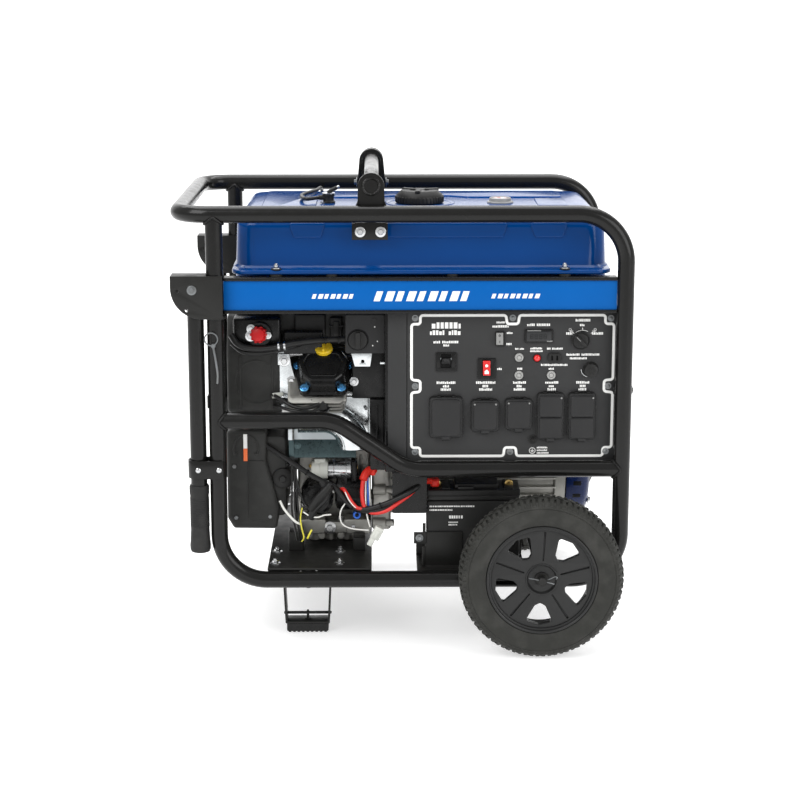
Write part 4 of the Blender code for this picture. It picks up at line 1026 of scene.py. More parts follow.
def make_axle():
    """The axle, its blocks on the bottom rails, and a washer and split pin outside each wheel."""
    low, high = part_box("axle")
    tyre_low, tyre_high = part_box("tyre_front")
    x = (tyre_low.x + tyre_high.x) / 2
    z = (tyre_low.z + tyre_high.z) / 2
    radius = 0.008
    shape = bmesh.new()
    bar(shape, (x, low.y, z), (x, high.y, z), radius, 32, 0.0012)
    for side in (-1, 1):
        block(shape, (x - 0.016, side * SIDE_Y - 0.012, BOTTOM_Z + TUBE_R - 0.001),
              (x + 0.016, side * SIDE_Y + 0.012, z + 0.013), 0.002)
        outer = side * (abs(tyre_low.y) - 0.0145)
        lathe(shape, [(0.0, 0.0), (0.0125, 0.0), (0.0125, 0.0016), (0.0, 0.0016)], (x, outer, z),
              (0, side, 0), 32)
    piece("axle_rod", shape, "bracket", replaces=("axle",))
    pins = bmesh.new()
    for side in (-1, 1):
        y = side * (abs(low.y) - 0.0040)
        path = [(x - 0.026, y, z + 0.0070), (x - 0.012, y, z + 0.0045), (x, y, z + 0.001),
                (x + 0.012, y + side * 0.001, z - 0.0015), (x + 0.022, y, z - 0.0045)]
        sweep(pins, smooth_path(path, 6), 0.0011, 8, round_ends=True)
        path = [(x + 0.010, y, z + 0.004), (x + 0.018, y, z + 0.0075), (x + 0.024, y, z + 0.0100),
                (x + 0.0275, y, z + 0.0080), (x + 0.0250, y, z + 0.0050)]
        sweep(pins, smooth_path(path, 6), 0.0009, 8, round_ends=True)
    piece("axle_split_pins", pins, "steel")


def make_feet():
    """The strap under the engine cradle at each side, with its cross bar, bolt and ribbed rubber pad."""
    for place in ("front", "rear"):
        low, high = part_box(f"foot_bracket_{place}")
        pad_low, pad_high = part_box(f"foot_pad_{place}")
        left, right = pad_low.x - 0.004, pad_high.x + 0.004
        strap = 0.004
        near, far = low.y, high.y
        bottom = pad_high.z + 0.0004
        outline = [(left - 0.006, high.z), (left, bottom), (right, bottom), (right + 0.006, high.z),
                   (right + 0.006 - strap, high.z), (right - strap, bottom + strap),
                   (left + strap, bottom + strap), (left - 0.006 + strap, high.z)]
        middle = (left + right) / 2
        y = (near + far) / 2
        shape = bmesh.new()
        slab(shape, outline, near, far, "y", 0.0008, segments=2)
        block(shape, (left - 0.0035, y - 0.004, bottom + 0.0145),
              (right + 0.0035, y + 0.004, bottom + 0.0185), 0.0010)
        bar(shape, (middle, y, bottom + 0.002), (middle, y, bottom + 0.0220), 0.0024, 14, 0.0006)
        lathe(shape, [(0.0060, 0.0), (0.0060, 0.0015), (0.0, 0.0015)], (middle, y, bottom + strap), UP, 24)
        piece(f"foot_strap_{place}", shape, "bracket", replaces=(f"foot_bracket_{place}",))
        pad = bmesh.new()
        block(pad, (pad_low.x - 0.0015, near + 0.001, 0.0010),
              (pad_high.x + 0.0015, far - 0.001, pad_high.z + 0.0006),
              0.003)
        ribs = 9
        for i in range(ribs):
            x = pad_low.x + (pad_high.x - pad_low.x) * (i + 0.5) / ribs
            block(pad, (x - 0.0026, near + 0.0005, 0.0), (x + 0.0026, far - 0.0005, 0.0120), 0.0010)
        piece(f"foot_rubber_{place}", pad, "rubber", replaces=(f"foot_pad_{place}",))


# --- Engine --------------------------------------------------------------------------------------

SHAFT_Z = 0.305
DECK_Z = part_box("engine_cradle")[1].z


def make_crankcase():
    """The cast block with its decks, ribs, feet and sump cover."""
    low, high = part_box("crankcase")
    diagonal = math.sqrt(0.5)
    reach, deck = 0.055, 0.1096

    def corner(across, side):
        return (side * (deck + across) * diagonal, SHAFT_Z + (deck - across) * diagonal)

    right_side = [corner(-reach, 1), corner(reach, 1), (0.105, 0.255), (0.085, 0.200)]
    left_side = [(-y, z) for y, z in reversed(right_side)]
    shape = bmesh.new()
    slab(shape, (right_side + left_side), low.x, high.x, "x", 0.006, segments=3)
    for x in (low.x + 0.030, low.x + 0.062, low.x + 0.094, low.x + 0.126):
        for side in (-1, 1):
            outline = [(side * 0.080, 0.205), (side * 0.104, 0.250), (side * 0.118, 0.335),
                       (side * 0.098, 0.335),
                       (side * 0.070, 0.230)]
            slab(shape, outline if side < 0 else outline[::-1], x - 0.003, x + 0.003, "x", 0.001)
    for side in (-1, 1):
        for x in (-0.175, -0.085):
            outline = rounded([(x - 0.030, 0, 0.205), (x - 0.022, 0, DECK_Z + 0.0215),
                               (x + 0.022, 0, DECK_Z + 0.0215),
                               (x + 0.026, 0, 0.205)], 0.004, 4, closed=True)
            near, far = sorted((side * 0.060, side * 0.125))
            slab(shape, [(p.x, p.z) for p in outline], near, far, "y", 0.002)
        near, far = sorted((side * 0.112, side * 0.122))
        block(shape, (-0.176, near, 0.1745), (-0.067, far, 0.2000), 0.003)
        for x in (-0.158, -0.120):
            bar(shape, (x, near, 0.1700), (x, far, 0.1700), 0.0075, 20, 0.0015)
        for x in (-0.172, -0.140, -0.105):
            bar(shape, (x, side * 0.086, DECK_Z), (x, side * 0.086, 0.200), 0.012, 20, 0.002)
    for x, z in ((-0.062, 0.300), (-0.062, 0.250), (-0.062, 0.360)):
        bar(shape, (x, -0.100, z), (x + 0.032, -0.100, z), 0.010, 20, 0.002)
    piece("crankcase_casting", shape, "casting", replaces=("crankcase",), angle=30)
    bolts = bmesh.new()
    for side in (-1, 1):
        hex_bolt(bolts, (-0.142, side * 0.122, 0.187), (0, side, 0), 0.0150)
        hex_bolt(bolts, (-0.095, side * 0.122, 0.190), (0, side, 0), 0.0090)
        for x in (-0.190, -0.078):
            hex_bolt(bolts, (x, side * 0.112, 0.262), (0, side, 0), 0.0095)
    piece("crankcase_bolts", bolts, "zinc")


HEAD_FOOT = 0.285                 # crank axis to the foot of each valve cover


def make_cylinder(place, side, x):
    """A finned barrel and head at 45 degrees, with a black valve cover and its bolts."""
    turn = Matrix.Translation((x, 0, SHAFT_Z)) @ Matrix.Rotation(-side * math.radians(45), 4, "X")
    shape = bmesh.new()
    block(shape, (-0.046, -0.046, 0.105), (0.046, 0.046, HEAD_FOOT), 0.008, 3, turn)
    fins = 16
    for i in range(fins):
        height = 0.120 + 0.0108 * i
        half = 0.0575 if i < 8 else 0.0545
        outline = rounded([(px, py, 0) for px, py in rectangle(-half, half, -half, half)], 0.012, 5,
                          closed=True)
        slab(shape, [(p.x, p.y) for p in outline], height, height + 0.0030, "z", 0.0008, place=turn)
    block(shape, (-0.054, -0.050, HEAD_FOOT - 0.014), (0.058, 0.052, HEAD_FOOT), 0.004, 3, turn)
    piece(f"cylinder_casting_{place}", shape, "casting", replaces=(f"cylinder_{place}",), angle=30)
    cover = bmesh.new()
    lid = turn @ Matrix.Translation((0.013, 0.0, 0.0))

    base = rounded([(-0.0440, -0.0400, 0), (0.0440, -0.0400, 0), (0.0570, 0.0310, 0), (0.0400, 0.0510, 0),
                    (-0.0400, 0.0510, 0), (-0.0570, 0.0310, 0)], 0.0120, 6, closed=True)
    slab(cover, [(p.x, p.y) for p in base], HEAD_FOOT - 0.0005, HEAD_FOOT + 0.0070, "z", 0.0010, place=lid)

    def outline_at(grow):
        points = [(-0.0230, -0.0390 - grow), (0.0230, -0.0390 - grow), (0.0470 + grow, -0.0160),
                  (0.0560 + grow, 0.0300 + grow), (0.0400 + grow * 0.7, 0.0500 + grow),
                  (-0.0400 - grow * 0.7, 0.0500 + grow), (-0.0560 - grow, 0.0300 + grow),
                  (-0.0470 - grow, -0.0160)]
        return rounded([(px, py, 0) for px, py in points], 0.0090, 6, closed=True)

    rings = []
    for grow, height in ((0.0010, -0.0005), (0.0010, 0.0060), (-0.0005, 0.0072), (-0.0035, 0.0090),
                         (-0.0055, 0.0230), (-0.0070, 0.0320), (-0.0095, 0.0380), (-0.0130, 0.0400),
                         (-0.0170, 0.0400), (-0.0185, 0.0386), (-0.0205, 0.0386), (-0.0220, 0.0402)):
        rings.append([(p.x, p.y, HEAD_FOOT + height) for p in outline_at(grow)])
    part = bmesh.new()
    loft(part, rings)
    absorb(cover, part, lid)
    bolts = bmesh.new()
    for px, py, stand in ((-0.0355, -0.0320, 0.0190), (0.0355, -0.0320, 0.0190),
                          (-0.0500, 0.0250, 0.0100), (0.0500, 0.0250, 0.0100)):
        bar(cover, (px, py, HEAD_FOOT), (px, py, HEAD_FOOT + stand), 0.0078, 24, 0.001, place=lid)
        hex_bolt(bolts, (px, py, HEAD_FOOT + stand - 0.0005), UP, 0.0100, transform=lid)
    piece(f"valve_cover_{place}", cover, "satin", angle=28)
    piece(f"valve_cover_bolts_{place}", bolts, "blue_bolt")


def make_oil_cap():
    """The oil filler cap."""
    cap = bmesh.new()
    turn = Matrix.Translation((-0.149, -0.200, 0.5640)) @ Matrix.Rotation(math.radians(38), 4, "X")
    lathe(cap, [(0.0, 0.0095), (0.0100, 0.0095), (0.0150, 0.0085), (0.0168, 0.0065), (0.0168, 0.0),
                (0.0120, -0.002),
                (0.0120, -0.012), (0.0, -0.012)], (0, 0, 0), UP, 36, place=turn)
    block(cap, (-0.0028, -0.0140, 0.0060), (0.0028, 0.0140, 0.0145), 0.0018, 3, turn)
    for i in range(18):
        spin = turn @ Matrix.Rotation(2 * math.pi * i / 18, 4, "Z")
        block(cap, (0.0158, -0.0010, 0.0008), (0.0174, 0.0010, 0.0062), 0.0004, 1, spin)
    piece("oil_filler_cap", cap, "yellow")
    tube_shape = bmesh.new()
    lathe(tube_shape, [(0.0135, -0.0100), (0.0150, -0.0120), (0.0150, -0.0300), (0.0, -0.0300),
                       (0.0, -0.0100)],
          (0, 0, 0), UP, 32, place=turn)
    piece("oil_filler_neck", tube_shape, "satin")


def make_shrouds():
    """The fan shroud at the left end, with its screen, labels and screws, under the air cleaner."""
    low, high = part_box("blower_housing")
    shape = bmesh.new()
    profile = [(low.x - 0.0070, high.z), (low.x - 0.0080, 0.228), (low.x + 0.004, low.z + 0.001),
               (-0.2430, low.z), (-0.2370, 0.2480), (-0.2620, 0.3440), (-0.2600, high.z)]
    path = rounded([(x, 0, z) for x, z in profile], 0.0085, 5, closed=True)
    outline = [(p.x, p.z) for p in path]
    slab(shape, outline[::-1], low.y, high.y, "y", 0.0075, segments=4)
    step_outline = [(-0.2980, 0.2230), (-0.2480, 0.2230), (-0.2430, 0.2500), (-0.2660, 0.3450),
                    (-0.2980, 0.3450)]
    path = rounded([(x, 0, z) for x, z in step_outline], 0.004, 4, closed=True)
    slab(shape, [(p.x, p.z) for p in path], low.y - 0.0016, low.y + 0.01, "y", 0.0012)
    slab(shape, [(p.x, p.z) for p in path], high.y - 0.01, high.y + 0.0016, "y", 0.0012)
    outline = rounded([(p[0], 0, p[1]) for p in ((-0.2700, 0.2300), (-0.2240, 0.2300), (-0.2240, 0.3900),
                                                 (-0.2700, 0.3900))], 0.01, 4, closed=True)
    slab(shape, [(p.x, p.z) for p in outline], low.y + 0.012, high.y - 0.012, "y", 0.004)
    for y, out in ((low.y, -1), (high.y, 1)):
        arch = []
        for a in range(0, 181, 6):
            arch.append((-0.3010 - 0.0240 * math.cos(math.radians(a)), y + out * 0.0004,
                         0.3660 + 0.0290 * math.sin(math.radians(a))))
        hook = [(-0.3195, y + out * 0.0004, 0.3600), (-0.3230, y + out * 0.0004, 0.3575)]
        sweep(shape, smooth_path(hook + arch + [(-0.2790, y + out * 0.0004, 0.3575),
                                                (-0.2825, y + out * 0.0004, 0.3600)], 3), 0.0022, 10,
                                                round_ends=True)
    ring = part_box("blower_housing")[0].x - 0.0070
    lathe(shape, [(0.0820, 0.0), (0.0820, 0.0050), (0.0780, 0.0072), (0.0720, 0.0072), (0.0700, 0.0040),
                  (0.0700, -0.004), (0.0820, -0.004)], (ring, 0, SHAFT_Z), (-1, 0, 0), 72, closed=True)
    piece("fan_shroud", shape, "shroud", replaces=("blower_housing",), angle=32)
    screen = bmesh.new()
    blades = 44
    for i in range(blades):
        turn = facing((-1, 0, 0), (ring, 0, SHAFT_Z)) @ Matrix.Rotation(2 * math.pi * i / blades, 4, "Z")
        block(screen, (0.020, -0.0012, 0.0008), (0.0705, 0.0012, 0.0034), 0.0005, 1, turn)
    for radius in (0.030, 0.043, 0.056, 0.069):
        lathe(screen, [(radius, 0.0010), (radius + 0.0018, 0.0010), (radius + 0.0018, 0.0036),
                       (radius, 0.0036)],
              (ring, 0, SHAFT_Z), (-1, 0, 0), 64, closed=True)
    lathe(screen, [(0.0, 0.0050), (0.0180, 0.0050), (0.0215, 0.0036), (0.0215, 0.0), (0.0, 0.0)],
          (ring, 0, SHAFT_Z), (-1, 0, 0), 40)
    piece("fan_screen", screen, "dark")
    label = bmesh.new()
    block(label, (-0.3058, low.y - 0.0026, 0.3690), (-0.2982, low.y - 0.0010, 0.3975), 0.0006)
    piece("shroud_label_white", label, "white")
    label = bmesh.new()
    block(label, (-0.3058, low.y - 0.0026, 0.3440), (-0.2982, low.y - 0.0010, 0.3690), 0.0006)
    piece("shroud_label_orange", label, "orange")
    screws = bmesh.new()
    for y, out in ((low.y, -1), (high.y, 1)):
        for x, z in ((-0.3220, 0.2300), (-0.2560, 0.2320), (-0.3240, 0.3330)):
            hex_bolt(screws, (x, y - out * 0.001, z), (0, out, 0), 0.0080)
    piece("shroud_screws", screws, "steel")


def make_air_cleaner():
    """The air cleaner box."""
    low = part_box("air_cleaner")[0]
    left, right = low.x - 0.0040, -0.2275
    shape = bmesh.new()
    front = [(-0.2000, 0.4380), (0.1200, 0.4380), (0.1200, 0.6260), (-0.1650, 0.6260), (-0.2000, 0.5600)]
    path = rounded([(y, z, 0) for y, z in front], 0.014, 5, closed=True)
    slab(shape, [(p.x, p.y) for p in path], left, right, "x", 0.0060, segments=4)
    top_box = [(-0.3200, -0.1820), (-0.0360, -0.1820), (-0.0360, 0.1600), (-0.3200, 0.1600)]
    path = rounded([(x, y, 0) for x, y in top_box], 0.020, 6, closed=True)
    slab(shape, [(p.x, p.y) for p in path], 0.5720, 0.6400, "z", 0.0070, segments=4)
    lathe(shape, [(0.0445, -0.001), (0.0445, 0.0006), (0.0425, 0.0012), (0.0400, 0.0006), (0.0400, -0.001)],
          (-0.2780, -0.2000, 0.5000), (0, -1, 0), 56, closed=True)
    for x in (-0.3100, -0.2480):
        block(shape, (x - 0.0025, -0.2012, 0.4460), (x + 0.0025, -0.1950, 0.5520), 0.0012)
    for i in range(7):
        y = -0.130 + 0.036 * i
        block(shape, (left - 0.0022, y, 0.4560), (left + 0.004, y + 0.020, 0.6080), 0.0018)
    piece("air_cleaner_shell", shape, "shroud", replaces=("air_cleaner",), angle=32)
    lid = bmesh.new()
    path = rounded([(-0.2050, -0.1900, 0), (-0.1450, -0.1900, 0), (-0.1450, -0.1700, 0),
                    (-0.2050, -0.1700, 0)],
                   0.004, 4, closed=True)
    slab(lid, [(p.x, p.y) for p in path], 0.5900, 0.6300, "z", 0.0020)
    for x in (-0.125, -0.062):
        block(lid, (x - 0.012, -0.1905, 0.5800), (x + 0.012, -0.1800, 0.6250), 0.0030)
        block(lid, (x - 0.006, -0.1935, 0.5860), (x + 0.006, -0.1890, 0.6180), 0.0015)
        bar(lid, (x - 0.014, -0.1900, 0.6080), (x + 0.014, -0.1900, 0.6080), 0.0028, 12, 0.0006)
    piece("air_cleaner_clips", lid, "plastic", angle=32)


def make_brackets():
    """Plates between the cylinder, the shroud, the selector dial and the panel, with dark blocks of painted
    shade in the gaps between them.
    """
    plate = bmesh.new()
    outline = rounded([(-0.2360, 0, 0.5600), (-0.2360, 0, 0.4760), (-0.1980, 0, 0.4700), (-0.2040, 0, 0.5050),
                       (-0.2120, 0, 0.5350), (-0.2160, 0, 0.5600)], 0.004, 3, closed=True)
    slab(plate, [(p.x, p.z) for p in outline], -0.2000, -0.1980, "y", 0.0004)
    block(plate, (-0.2370, -0.2060, 0.5340), (-0.2160, -0.2000, 0.5570), 0.0015)
    outline = [(-0.0960, 0.5620), (-0.0890, 0.5360), (-0.0600, 0.5360), (-0.0560, 0.5620)]
    slab(plate, outline[::-1], -0.2270, -0.2250, "y", 0.0004,
         holes=[circle(-0.0740, 0.5460, 0.0032, 20)])
    block(plate, (-0.0410, -0.2250, 0.5400), (-0.0280, -0.2230, 0.5440), 0.0004)
    block(plate, (-0.0320, -0.2250, 0.5290), (-0.0280, -0.2230, 0.5440), 0.0004)
    piece("mounting_plates", plate, "sheet")
    bolts = bmesh.new()
    hex_bolt(bolts, (-0.2245, -0.2060, 0.5430), (0, -1, 0), 0.0130)
    hex_bolt(bolts, (-0.2115, -0.2000, 0.5035), (0, -1, 0), 0.0105)
    hex_bolt(bolts, (-0.0910, -0.2120, 0.5035), (0, -1, 0), 0.0105)
    hex_bolt(bolts, (-0.0330, -0.2230, 0.3700), (0, -1, 0), 0.0080)
    piece("mounting_bolts", bolts, "zinc")
    # Dark satin blocks set in the gaps round the heat shield, the selector dial, the panel edge and the air
    # cleaner: painted shade, standing in for the shadow there.
    shade = bmesh.new()
    block(shade, (-0.0950, -0.2120, 0.4700), (-0.0180, -0.1500, 0.5620), 0.0030)
    block(shade, (-0.0610, -0.2200, 0.3300), (-0.0180, -0.1700, 0.4700), 0.0030)
    block(shade, (-0.0320, -0.2500, 0.3340), (0.0130, -0.1900, 0.6460), 0.0030)
    block(shade, (-0.2250, -0.2080, 0.5560), (-0.1500, -0.1500, 0.6000), 0.0030)
    for x in (-0.0470, -0.0360):
        block(shade, (x - 0.0020, -0.2230, 0.3400), (x + 0.0020, -0.2180, 0.4600), 0.0010)
    piece("painted_shade_blocks", shade, "satin")
    strip = bmesh.new()
    panel_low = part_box("control_panel")[0]
    block(strip, (-0.0265, panel_low.y - 0.0005, 0.3490), (0.0090, panel_low.y + 0.0020, 0.6470), 0.0006)
    block(strip, (-0.0265, panel_low.y + 0.0010, 0.3490), (-0.0245, panel_low.y + 0.0420, 0.6470), 0.0006)
    piece("panel_side_plate", strip, "panel")
    boot = bmesh.new()
    lathe(boot, [(0.0, 0.0), (0.0060, 0.0), (0.0072, 0.0030), (0.0100, 0.0040), (0.0112, 0.0010),
                 (0.0112, -0.0100),
                 (0.0, -0.0100)], (-0.1490, -0.2280, 0.4560), OUT, 40)
    piece("plug_boot_ring", boot, "cable", angle=32)
    cover = bmesh.new()
    path = rounded([(-0.0180, 0, 0.2470), (0.0490, 0, 0.2470), (0.0490, 0, 0.3300), (-0.0180, 0, 0.3300)],
                   0.004, 4, closed=True)
    slab(cover, [(p.x, p.z) for p in path], -0.2320, -0.2300, "y", 0.0005)
    block(cover, (-0.0180, -0.2310, 0.3200), (0.0490, -0.1700, 0.3230), 0.0006)
    piece("terminal_cover", cover, "satin")


def make_heat_shield():
    """The bright duct that turns from the cylinder down to the alternator, and the curved plate under it,
    painted light on its upper half and painted shade on its lower half.
    """
    shape = bmesh.new()
    right, top = -0.0605, 0.4700
    centre_x, centre_z, bend = -0.1500, 0.3700, 0.0590
    path = [(-0.2000, -0.1900, centre_z + bend)]
    for i in range(19):
        t = math.radians(90 - 5 * i)
        path.append((centre_x + bend * math.cos(t), -0.1900, centre_z + bend * math.sin(t)))
    sweep(shape, path, 0.0310, 48)
    block(shape, (-0.1500, -0.1990, 0.4000), (right, -0.1970, top), 0.0008)
    block(shape, (-0.1500, -0.2010, top - 0.0010), (right, -0.1500, top + 0.0010), 0.0006)
    block(shape, (right - 0.0012, -0.2010, 0.3980), (right, -0.1500, top), 0.0004)
    block(shape, (-0.2080, -0.2140, 0.4390), (-0.1350, -0.1500, 0.4700), 0.0030)
    block(shape, (-0.2330, -0.2060, 0.4480), (-0.2020, -0.1600, 0.4740), 0.0030)
    piece("heat_shield", shape, "sheet", angle=40)
    rivets = bmesh.new()
    for x, z in ((-0.1060, 0.4360), (-0.0680, 0.4500)):
        lathe(rivets, [(0.0035, 0.0), (0.0030, 0.0015), (0.0, 0.0020)], (x, -0.2090, z), (0, -1, 0), 20)
    piece("heat_shield_rivets", rivets, "steel")
    # One curved plate in two halves: a pale copy of the sheet on the upper half and a dark copy on the lower
    # half, painted light and painted shade for how the light falls across the bend.
    for name, finish, first, last in (("heat_plate_upper_painted_light", "sheet_painted_light", 0, 6),
                                      ("heat_plate_lower_painted_shade", "sheet_painted_shade", 6, 12)):
        low_plate = bmesh.new()
        rings = []
        for i in range(first, last + 1):
            t = math.radians(90) * i / 12
            rings.append([(x, -0.1650 - 0.0320 * math.sin(t) + dy, 0.4240 - 0.0740 * math.sin(t / 2) / 0.7071)
                          for x, dy in ((-0.2080, 0.0), (-0.0880, 0.0), (-0.0880, 0.0025),
                                        (-0.2080, 0.0025))])
        loft(low_plate, rings)
        if finish == "sheet_painted_light":
            block(low_plate, (-0.2190, -0.1980, 0.3850), (-0.2110, -0.1960, 0.4060), 0.0005)
        else:
            hex_bolt(low_plate, (-0.2010, -0.1970, 0.3740), (0, -1, 0), 0.0080)
            block(low_plate, (-0.2180, -0.1980, 0.3520), (-0.2080, -0.1960, 0.3850), 0.0005)
        piece(name, low_plate, finish, angle=40)
    tag = bmesh.new()
    block(tag, (-0.2180, -0.2255, 0.4310), (-0.1650, -0.2242, 0.4440), 0.0020)
    block(tag, (-0.2290, -0.2230, 0.4420), (-0.2060, -0.2190, 0.4540), 0.0015)
    piece("harness_tag", tag, "white")
    bars = bmesh.new()
    for i in range(6):
        x = -0.2200 + 0.0022 * (i if i < 3 else i + 8)
        block(bars, (x, -0.2260, 0.4360), (x + 0.0013, -0.2250, 0.4410))
    piece("harness_tag_marks", bars, "dark")


def make_ignition():
    """The spark-plug boot and its leads."""
    boot = bmesh.new()
    lathe(boot, [(0.0, 0.0150), (0.0070, 0.0150), (0.0090, 0.0120), (0.0100, 0.0), (0.0145, -0.0010),
                 (0.0158, -0.0060),
                 (0.0150, -0.0140), (0.0090, -0.0300), (0.0, -0.0300)], (-0.1500, -0.2250, 0.4620),
                 (0, -1, 0), 36)
    lathe(boot, [(0.0158, -0.0020), (0.0172, -0.0035), (0.0172, -0.0060), (0.0158, -0.0075)],
          (-0.1500, -0.2250, 0.4620), (0, -1, 0), 36, closed=True)
    piece("spark_plug_boot", boot, "rubber", angle=40)
    wire("ignition_lead_upper", [(-0.1560, -0.2380, 0.4660), (-0.1800, -0.2400, 0.4580),
                                 (-0.2060, -0.2350, 0.4600),
                                 (-0.2380, -0.2150, 0.4740), (-0.2500, -0.1960, 0.4760)], 0.0038, "cable")
    wire("ignition_lead_lower", [(-0.1540, -0.2360, 0.4580), (-0.1760, -0.2420, 0.4500),
                                 (-0.2040, -0.2400, 0.4520),
                                 (-0.2300, -0.2250, 0.4560), (-0.2460, -0.1980, 0.4540)], 0.0034, "cable")
    wire("ignition_lead_middle", [(-0.1700, -0.2340, 0.4720), (-0.1900, -0.2300, 0.4640),
                                  (-0.2100, -0.2300, 0.4660),
                                  (-0.2400, -0.2100, 0.4660)], 0.0026, "cable")
    knob = bmesh.new()
    lathe(knob, [(0.0, 0.0060), (0.0050, 0.0060), (0.0055, 0.0), (0.0055, -0.0140), (0.0, -0.0140)],
          (-0.2420, -0.2050, 0.4750), (-1, -0.4, 0), 20)
    piece("lead_clip", knob, "nylon")


def make_starter():
    """The starter motor, its solenoid with a white cap, and the terminals."""
    motor = bmesh.new()
    y, z = -0.155, 0.268
    lathe(motor, [(0.0, -0.1300), (0.0190, -0.1300), (0.0310, -0.1260), (0.0335, -0.1200), (0.0340, -0.0960),
                  (0.0335, -0.0930), (0.0335, -0.0700), (0.0300, -0.0640), (0.0180, -0.0610), (0.0, -0.0610)],
          (0, y, z), RIGHT, 48)
    for i in range(4):
        turn = math.pi / 4 + math.pi / 2 * i
        bar(motor, (-0.127, y + 0.026 * math.cos(turn), z + 0.026 * math.sin(turn)),
            (-0.064, y + 0.026 * math.cos(turn), z + 0.026 * math.sin(turn)), 0.0032, 12)
    block(motor, (-0.1240, -0.1780, 0.2680), (-0.1040, -0.1500, 0.3220), 0.003)
    piece("starter_body", motor, "satin", replaces=("starter_motor",), angle=32)
    can = bmesh.new()
    y, z = -0.165, 0.320
    lathe(can, [(0.0, -0.1440), (0.0190, -0.1440), (0.0205, -0.1425), (0.0205, -0.1320), (0.0198, -0.1310),
                (0.0198, -0.1080), (0.0205, -0.1070), (0.0205, -0.0990), (0.0185, -0.0975), (0.0, -0.0975)],
          (0, y, z), RIGHT, 56)
    piece("solenoid_can", can, "zinc", angle=32)
    cap = bmesh.new()
    lathe(cap, [(0.0, -0.1765), (0.0150, -0.1765), (0.0172, -0.1740), (0.0180, -0.1600), (0.0195, -0.1580),
                (0.0195, -0.1438), (0.0, -0.1438)], (0, y, z), RIGHT, 40)
    block(cap, (-0.1700, y - 0.0120, z + 0.0100), (-0.1480, y + 0.0080, z + 0.0225), 0.0020)
    piece("solenoid_cap", cap, "nylon", angle=32)
    studs = bmesh.new()
    for dy, dz in ((-0.0100, 0.0080), (-0.0100, -0.0090)):
        bar(studs, (-0.1780, y + dy, z + dz), (-0.1740, y + dy, z + dz), 0.0030, 14, 0.0008)
        hex_bolt(studs, (-0.1765, y + dy, z + dz), (-1, 0, 0), 0.0070)
    bar(studs, (-0.1000, y, z), (-0.0850, y, z), 0.0060, 20, 0.001)
    piece("solenoid_studs", studs, "brass")
    link = bmesh.new()
    block(link, (-0.0980, -0.1800, 0.2960), (-0.0860, -0.1450, 0.3380), 0.003)
    piece("starter_nose", link, "satin")


def make_filter():
    """The oil filter."""
    low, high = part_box("oil_filter")
    middle = (low + high) / 2
    shape = bmesh.new()
    profile = [(0.0, 0.0785), (0.0130, 0.0785), (0.0240, 0.0770), (0.0300, 0.0720), (0.0318, 0.0660),
               (0.0318, 0.0120),
               (0.0325, 0.0100), (0.0325, 0.0050), (0.0300, 0.0), (0.0, 0.0)]
    lathe(shape, profile, (middle.x, high.y, middle.z), (0, -1, 0), 56)
    for i in range(15):
        turn = facing((0, -1, 0), (middle.x, high.y, middle.z)) @ Matrix.Rotation(2 * math.pi * i / 15, 4,
                                                                                  "Z")
        block(shape, (0.0290, -0.0030, 0.0560), (0.0324, 0.0030, 0.0720), 0.0010, 2, turn)
    piece("oil_filter_can", shape, "satin", replaces=("oil_filter",), angle=32)
    disc = bmesh.new()
    lathe(disc, [(0.0, 0.0120), (0.0150, 0.0120), (0.0200, 0.0095), (0.0215, 0.0040), (0.0215, -0.0200),
                 (0.0, -0.0200)], (-0.2310, -0.1800, 0.3060), (0, -1, 0), 40)
    lathe(disc, [(0.0, 0.0165), (0.0060, 0.0165), (0.0070, 0.0150), (0.0070, 0.0100), (0.0, 0.0100)],
          (-0.2310, -0.1800, 0.3060), (0, -1, 0), 24)
    piece("breather_disc", disc, "plastic", angle=32)


